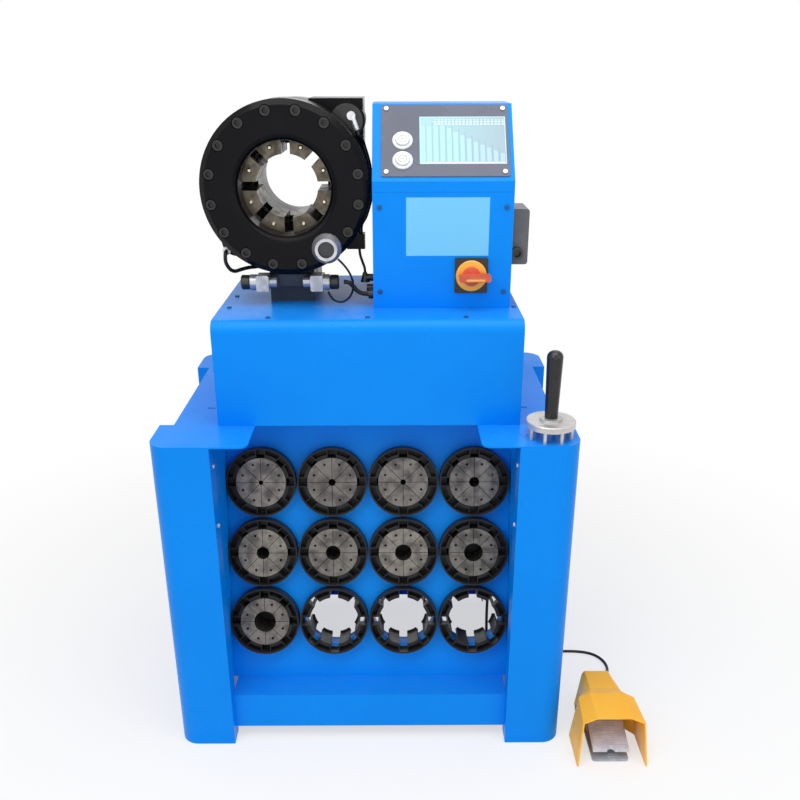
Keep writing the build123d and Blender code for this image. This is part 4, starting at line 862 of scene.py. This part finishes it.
class Leads:
    """Every flexible lead of the machine."""

    def __init__(self, materials: dict[str, Material]) -> None:
        """Keeps the materials.

        Args:
            materials: The materials by finish name.
        """
        self.sheath = materials[SHEATH.name]

    def build(self) -> None:
        """Makes the pedal's lead and the head's three short cables."""
        coiled = CoiledLead()
        lead = Lead("pedal_lead", coiled.route(), coiled.diameter).build(self.sheath)
        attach(lead, "machine")
        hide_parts("pedal_cord", "pedal_cord_coil")
        jumpers = (
            ("lamp_cable", LAMP_CABLE, 0.004, 0.144),
            ("boot_cable", BOOT_CABLE, 0.005, 0.048),
            ("sensor_cable", SENSOR_CABLE, 0.008, 0.053),
        )
        for name, route, diameter, length in jumpers:
            cable = Lead(name, route, diameter).build(self.sheath)
            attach(cable, "machine")
            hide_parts("head_cables")
        LOG.info("leads: pedal lead and %d short cables", len(jumpers))


# ---- the CAD nodes' finishes ----


class NodeDresser:
    """Gives each CAD node its finish."""

    FINISHES: dict[Finish, tuple[str, ...]] = {
        BLUE_COAT: (
            "front_posts", "rear_frame", "bench_top", "side_panels", "rack_cheeks", "rack_panel",
            "pack_housing", "pack_rear_cover", "control_box", "control_cover",
        ),
        HEAD_PAINT: ("cylinder_body", "front_ring", "rear_cover"),
        PEDESTAL_PAINT: ("head_pedestal",),
        BLACK_OXIDE: ("head_bolts",),
        RAM_STEEL: ("piston",),
        SEAL_RUBBER: ("piston_seals",),
        MASTER_STEEL: tuple(f"master_die_{n}" for n in MASTER_DIES),
        PORT_FINISH: ("port_fittings",),
        TUBE_BLACK: ("oil_tubes",),
        LAMP_FINISH: ("work_lamp",),
        SENSOR_FINISH: ("sensor_blocks",),
        CONSOLE_SKIN: ("console_plate",),
        SWITCH_FINISH: ("switch_mount",),
        HANDLE_RED: ("switch_handle",),
        BUTTON_WHITE: ("open_button", "close_button"),
        JUNCTION_GREY: ("junction_box",),
        GLAND_FINISH: ("cable_glands",),
        HOLDER_PLASTIC: ("die_holders", "empty_die_holders"),
        TOOL_STEEL: ("tool_disc",),
        GRIP_PLASTIC: ("tool_grip",),
        GUARD_PAINT: ("pedal_guard",),
        TREAD_ALUMINIUM: ("pedal_treadle",),
        PEDAL_CASTING: ("pedal_base",),
        RESERVOIR_SHEET: ("oil_reservoir",),
        MOTOR_PAINT: ("pump_motor",),
        ZINC_PLATE: ("pump_and_valves",),
        SCREW_MIX: ("panel_screws",),
        LABEL_BLUE: ("touch_screen",),
    }
    EXTRA: tuple[Finish, ...] = (SHEATH, INSERT_YELLOW, BUTTON_MARK)

    def __init__(self, groups: EffectGroups) -> None:
        """Builds every material.

        Args:
            groups: The shared effect groups.
        """
        finishes = list(self.FINISHES) + list(self.EXTRA) + [die_steel(n) for n in DIE_SETS]
        self.materials = {finish.name: finish.build(groups) for finish in finishes}

    def dress(self) -> None:
        """Assigns the materials to the CAD nodes."""
        for finish, nodes in self.FINISHES.items():
            for node in nodes:
                self._assign(node, self.materials[finish.name])
        for number in DIE_SETS:
            self._assign(f"die_set_{number}", self.materials[f"die_steel_{number}"])
        LOG.info("dressed %d nodes", len(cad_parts))

    @staticmethod
    def _assign(node: str, material: Material) -> None:
        """Puts a material in every slot of a node.

        Args:
            node: The node's name.
            material: The material.
        """
        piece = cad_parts[node]
        for place in piece.material_slots:
            place.material = material


# ---- console, screen and cover ----


@dataclass(frozen=True)
class ConsoleFace:
    """The sloping console: its middle line's low point, and its right, up and outward ways."""

    origin: Point = (0.13965, -0.0765, 1.0678)
    rise: tuple[float, float] = (0.1053, 0.1242)
    skin: float = 0.002

    def directions(self) -> tuple[Point, Point, Point]:
        """The face's directions.

        Returns:
            The ways to the right, up the slope and outward.
        """
        run = math.hypot(*self.rise)
        up = (0.0, self.rise[0] / run, self.rise[1] / run)
        return RIGHT, up, (0.0, -up[2], up[1])

    def place(self, right: float, up: float, out: float) -> Point:
        """A point on or over the face.

        Args:
            right: Metres to the right of its origin.
            up: Metres up the slope.
            out: Metres out of the face.

        Returns:
            The point.
        """
        x_way, up_way, out_way = map(np.array, self.directions())
        point = np.array(self.origin) + right * x_way + up * up_way + out * out_way
        return tuple(point.tolist())


@dataclass
class Console:
    """What the console shows: the lit display, its frame and the marks on the buttons."""

    materials: dict[str, Material]
    face: ConsoleFace = field(default_factory=ConsoleFace)
    screen_centre: tuple[float, float] = (0.0356, 0.0836)
    screen_size: tuple[float, float] = (0.1530, 0.0980)
    button_right: float = -0.0718
    button_up: tuple[float, float] = (0.0823, 0.0412)
    button_top: float = 0.0085
    bezel_foot: float = 0.0040

    def build(self) -> None:
        """Makes every piece of the console."""
        self._display()
        for name, up in zip(("open", "close"), self.button_up):
            self._button_mark(name, up)
        LOG.info("console: display and button marks")

    def _display(self) -> None:
        """The display's picture, as colours on a grid just over the glass.

        Light bars stand side by side and step down to the right, under a row of small cells.
        Everything is a function of the place across (u) and up (v), both from 0 to 1.
        """
        columns, rows = 232, 150
        u, v = np.meshgrid(np.linspace(0, 1, columns), np.linspace(0, 1, rows), indexing="ij")
        right_tone = np.array([0.27, 0.38, 0.45])
        left_tone = np.array([0.29, 0.54, 0.58])
        colour = right_tone + (left_tone - right_tone) * (1 - u)[..., None]
        bars = 13
        slot = np.clip(np.floor(u * bars), 0, bars - 1)
        step = np.clip((slot - 3.6) / 9.0, 0, 1)
        top = 0.80 - 0.62 * step ** 0.85
        phase = u * bars - slot
        in_bar = (phase > 0.12) & (phase < 0.80) & (v < top) & (v > 0.05)
        colour = np.where(in_bar[..., None], colour + np.array([0.06, 0.11, 0.11]), colour)
        shade = (phase >= 0.80) & (v < top + 0.06) & (v > 0.04)
        colour = np.where(shade[..., None], colour * 0.86, colour)
        header = (v > 0.83) & (v < 0.95) & (u > 0.16)
        cell = (np.mod(u * 24, 1.0) < 0.72) & (np.mod(v * 16, 1.0) < 0.7)
        colour = np.where((header & cell)[..., None], np.array([0.52, 0.68, 0.70]), colour)
        colour = np.where((header & ~cell)[..., None], colour * 0.90, colour)
        line = (v > 0.015) & (v < 0.035) & (u > 0.02) & (u < 0.98)
        colour = np.where(line[..., None], np.array([0.66, 0.80, 0.80]), colour)
        edge = (u < 0.008) | (u > 0.992) | (v < 0.010) | (v > 0.988)
        colour = np.where(edge[..., None], np.array([0.50, 0.72, 0.70]), colour)
        right, up, out = map(np.array, self.face.directions())
        start = np.array(self.face.place(
            self.screen_centre[0] - self.screen_size[0] / 2,
            self.screen_centre[1] - self.screen_size[1] / 2,
            self.face.skin + 0.0001,
        ))
        points = (
            start + u[..., None] * self.screen_size[0] * right
            + v[..., None] * self.screen_size[1] * up
        )
        colours = np.concatenate([np.clip(colour, 0, 1), np.ones((*u.shape, 1))], axis=-1)
        piece = mesh_object(
            "screen_display", points.reshape(-1, 3), grid_faces(columns, rows, False, False),
            False, colours.reshape(-1, 4),
        )
        finish_piece(piece, self._display_material())

    @staticmethod
    def _display_material() -> Material:
        """Glass over a lit picture: the picture is both the colour and a faint glow.

        Returns:
            The display's material.
        """
        material = bpy.data.materials.new("lit_display")
        material.use_nodes = True
        tree = material.node_tree
        picture = add_node(tree, "Attribute", attribute_name="display").outputs["Color"]
        feed(tree, tree.nodes["Principled BSDF"], {
            "Base Color": picture, "Emission Color": picture, "Emission Strength": 0.06,
            "Roughness": 0.15,
        })
        return material

    def _button_mark(self, name: str, up: float) -> None:
        """A button's bezel, and the printed ring and bar on its face.

        Args:
            name: The button's name.
            up: Its place up the slope.
        """
        right, upward, _ = self.face.directions()
        foot = self.face.place(self.button_right, up, self.bezel_foot)
        bezel = Turned(
            f"{name}_button_bezel", foot, right, upward,
            ((0.0126, -0.0019), (0.0126, 0.0009), (0.0130, 0.0012), (0.0165, 0.0012),
             (0.0178, 0.0006), (0.0184, -0.0004), (0.0184, -0.0019)),
        ).build()
        finish_piece(bezel, self.materials[BUTTON_WHITE.name])
        top = self.face.place(self.button_right, up, self.button_top)
        ring = Turned(
            f"{name}_button_ring", top, right, upward,
            ((0.0065, 0.0), (0.0066, 0.00015), (0.0078, 0.00015), (0.0079, 0.0)),
        ).build()
        bar = Plate(
            f"{name}_button_bar", top, right, upward, 0.0060, 0.0016, 0.00015, 0.0005, 0.0001
        ).build()
        for mark in (ring, bar):
            finish_piece(mark, self.materials[BUTTON_MARK.name], f"{name}_button")


@dataclass
class CoverTrim:
    """The bare light blue label on the front cover, and the yellow insert of the switch."""

    materials: dict[str, Material]
    cover_y: float = -0.0765
    label_low: tuple[float, float] = (0.0738, 0.9376)
    label_high: tuple[float, float] = (0.2225, 1.0404)

    def build(self) -> None:
        """Makes the label and the switch's insert."""
        (x0, z0), (x1, z1) = self.label_low, self.label_high
        label = Plate(
            "cover_label", ((x0 + x1) / 2, self.cover_y, (z0 + z1) / 2), RIGHT, UP, x1 - x0,
            z1 - z0, 0.0004, 0.0008, 0.0001,
        ).build()
        finish_piece(label, self.materials[LABEL_BLUE.name])
        low, high = map(np.array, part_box("switch_handle"))
        insert = Plate(
            "switch_handle_insert",
            (0.1990, float(low[1]), float((low[2] + high[2]) / 2) - 0.0030), RIGHT, UP,
            0.034, 0.0036, 0.0003, 0.0006, 0.0001,
        ).build()
        finish_piece(insert, self.materials[INSERT_YELLOW.name], "switch")
        LOG.info("cover: label and switch insert")


# ---- die rack ----


@dataclass
class HolderShadeBacks:
    """Painted shade in the die rack: dark cups behind the filled holders, and blue lips under the
    empty ones.

    A cup is a flange in the panel's hole, a wall round the holder's fingers and a flat back; its
    dark plastic is painted shade for the dark inside of the bench seen through the holder. A lip is
    the lower half of a short blue collar behind the panel, painted shade for the shaded blue inside
    of the bench seen through the lower slots.
    """

    materials: dict[str, Material]
    tilt: float = math.radians(13.14)
    middle_behind: float = 0.008
    cup: tuple[tuple[float, float], ...] = (
        (0.0, -0.0417), (0.0518, -0.0417), (0.0518, -0.0002), (0.0623, -0.0002),
        (0.0623, -0.0014), (0.0530, -0.0014), (0.0530, -0.0429), (0.0, -0.0429),
    )
    lip_radius: float = 0.0618
    lip_depth: float = 0.046
    lip_half_angle: float = math.radians(102.0)
    lip_front: float = 0.0004
    lip_sheet: float = 0.0015
    lip_grid: tuple[int, int] = (4, 33)

    def build(self) -> None:
        """Makes a dark cup behind each filled holder and a blue lip under each empty one, both
        painted shade.
        """
        right = np.array(RIGHT)
        up = np.array([0.0, math.sin(self.tilt), math.cos(self.tilt)])
        out = np.cross(right, up)
        middles = [
            np.mean(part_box(f"die_set_{number}"), axis=0) + self.middle_behind * out
            for number in DIE_SETS
        ]
        for number, middle in enumerate(middles, 1):
            # Dark cup: painted shade for the dark inside of the bench behind a filled holder.
            cup = Turned(
                f"holder_shade_cup_{number}", tuple(middle), tuple(right), tuple(up), self.cup,
                smooth=False,
            ).build()
            finish_piece(cup, self.materials[HOLDER_PLASTIC.name])
        lowest = middles[-1]
        # Blue lips: painted shade for the shaded blue inside of the bench under the empty holders.
        for number, above in enumerate(middles[EMPTY_COLUMNS], len(middles) + 1):
            middle = np.array([above[0], lowest[1], lowest[2]])
            lip = self._lip(f"holder_shade_lip_{number}", middle, right, up, out)
            finish_piece(lip, self.materials[BLUE_COAT.name])
        LOG.info("die rack: nine holder cups and three lips")

    def _lip(
        self, name: str, middle: np.ndarray, right: np.ndarray, up: np.ndarray, out: np.ndarray,
    ) -> Piece:
        """Makes a lip, a blue sheet of painted shade for the shaded inside of the bench: an arc
        under the axis carried backwards, then given its sheet's thickness.

        Args:
            name: The piece's name.
            middle: Where the holder's axis meets the panel.
            right: The direction to the right along the panel.
            up: The direction up the panel.
            out: The direction out of the panel.

        Returns:
            The piece.
        """
        rows, columns = self.lip_grid
        angle = np.linspace(-self.lip_half_angle, self.lip_half_angle, columns)
        depth = np.linspace(self.lip_front, self.lip_depth, rows)
        rim = self.lip_radius * (np.sin(angle)[:, None] * right - np.cos(angle)[:, None] * up)
        points = middle + rim[None, :, :] - depth[:, None, None] * out
        lip = mesh_object(name, points.reshape(-1, 3), grid_faces(rows, columns, False, False))
        sheet = lip.modifiers.new("sheet", "SOLIDIFY")
        sheet.thickness = self.lip_sheet
        return lip


# ---- studio ----


@dataclass(frozen=True)
class Studio:
    """A pale floor, soft lamps, the surrounding white and the camera."""

    camera_at: Point = (0.0553, -1.6917, 1.2506)
    pitch_down: float = 22.75
    yaw: float = 0.11
    roll: float = -0.16
    lens: float = 40.03
    shift: tuple[float, float] = (0.0024, 0.0519)
    world_strength: float = 0.46
    floor_reach: float = 14.0
    fade: tuple[float, float] = (0.5, 1.7)
    least_white: float = 0.6

    def camera(self) -> None:
        """Makes the camera."""
        data = bpy.data.cameras.new("camera")
        data.lens = self.lens
        data.sensor_width = 36.0
        data.shift_x, data.shift_y = self.shift
        data.clip_start = 0.05
        camera = bpy.data.objects.new("camera", data)
        turn = Euler((math.radians(90 - self.pitch_down), 0.0, math.radians(-self.yaw)), "YXZ")
        camera.matrix_world = (
            Matrix.Translation(self.camera_at) @ turn.to_matrix().to_4x4()
            @ Matrix.Rotation(math.radians(self.roll), 4, "Z")
        )
        bpy.context.scene.collection.objects.link(camera)
        bpy.context.scene.camera = camera

    def lamps(self) -> None:
        """Makes the soft lamps: an overhead one, a key from the upper left and two fills."""
        self._lamp("overhead", (0.1, -0.5, 3.1), (0.0, 0.0, 0.5), 2.6, 54.0)
        self._lamp("key", (-1.7, -2.1, 2.6), (0.0, 0.0, 0.7), 2.2, 30.0)
        self._lamp("fill", (2.2, -1.9, 1.6), (0.0, 0.0, 0.6), 2.2, 14.0)
        self._lamp("front", (0.1, -3.0, 0.8), (0.0, 0.0, 0.4), 2.2, 12.0)

    @staticmethod
    def _lamp(name: str, place: Point, target: Point, size: float, power: float) -> None:
        """Makes one square area lamp aimed at a point.

        Args:
            name: The lamp's name.
            place: Where it stands.
            target: The point that it is aimed at.
            size: The length of its side.
            power: Its power in watts.
        """
        data = bpy.data.lights.new(name, "AREA")
        data.shape = "SQUARE"
        data.size = size
        data.energy = power
        lamp = bpy.data.objects.new(name, data)
        lamp.location = place
        aim = Vector(target) - Vector(place)
        lamp.rotation_euler = aim.to_track_quat("-Z", "Y").to_euler()
        bpy.context.scene.collection.objects.link(lamp)

    def world(self) -> None:
        """White surroundings, plain white where the camera and reflections see them."""
        world = bpy.data.worlds.new("studio_white")
        world.use_nodes = True
        bpy.context.scene.world = world
        tree = world.node_tree
        tree.nodes.clear()
        add = partial(add_node, tree)
        light = add("Background", {"Strength": self.world_strength})
        seen = add("Background", {"Color": (1.0, 1.0, 1.0, 1.0)})
        mix = add("MixShader", {
            "Fac": seen_directly(tree), 1: light.outputs[0], 2: seen.outputs[0],
        })
        add("OutputWorld", {"Surface": mix.outputs[0]})

    def floor(self) -> None:
        """The pale floor that keeps the machine's shadow."""
        span = self.floor_reach
        corners = np.array([(-span, -span, 0), (span, -span, 0), (span, span, 0), (-span, span, 0)])
        floor = mesh_object("floor", corners, np.array([[0, 1, 2, 3]]), smooth=False)
        floor.data.materials.append(self._floor_material())

    def _floor_material(self) -> Material:
        """Pale and matt, and plain white where the camera sees it far from the machine.

        Returns:
            The floor's material.
        """
        material = bpy.data.materials.new("pale_floor")
        material.use_nodes = True
        tree = material.node_tree
        add = partial(add_node, tree)
        matt = tree.nodes["Principled BSDF"]
        feed(tree, matt, {
            "Base Color": (0.90, 0.90, 0.90, 1.0), "Roughness": 0.95, "Specular IOR Level": 0.1,
        })
        distance = add("VectorMath", {0: add("TexCoord").outputs["Object"]}, operation="LENGTH")
        fade = add(
            "MapRange",
            {"Value": distance.outputs["Value"], "From Min": self.fade[0],
             "From Max": self.fade[1], "To Min": self.least_white},
            interpolation_type="SMOOTHSTEP",
        )
        share = add(
            "Math", {0: seen_directly(tree), 1: fade.outputs["Result"]}, operation="MULTIPLY"
        )
        mix = add("MixShader", {
            "Fac": share.outputs[0], 1: matt.outputs[0], 2: add("Emission").outputs[0],
        })
        feed(tree, tree.nodes["Material Output"], {"Surface": mix.outputs[0]})
        return material

    def build(self) -> None:
        """Makes the whole studio."""
        bpy.context.scene.view_settings.view_transform = "Standard"
        self.camera()
        self.lamps()
        self.world()
        self.floor()
        LOG.info("studio: camera, lamps, floor")


def main() -> None:
    """Builds the studio, the leads, the finishes, the trim and the rack's painted-shade backs, in
    order.
    """
    logging.basicConfig(level=logging.INFO, format="%(message)s")
    Studio().build()
    dresser = NodeDresser(EffectGroups())
    Leads(dresser.materials).build()
    dresser.dress()
    Console(dresser.materials).build()
    CoverTrim(dresser.materials).build()
    HolderShadeBacks(dresser.materials).build()


if __name__ == "__main__":
    main()
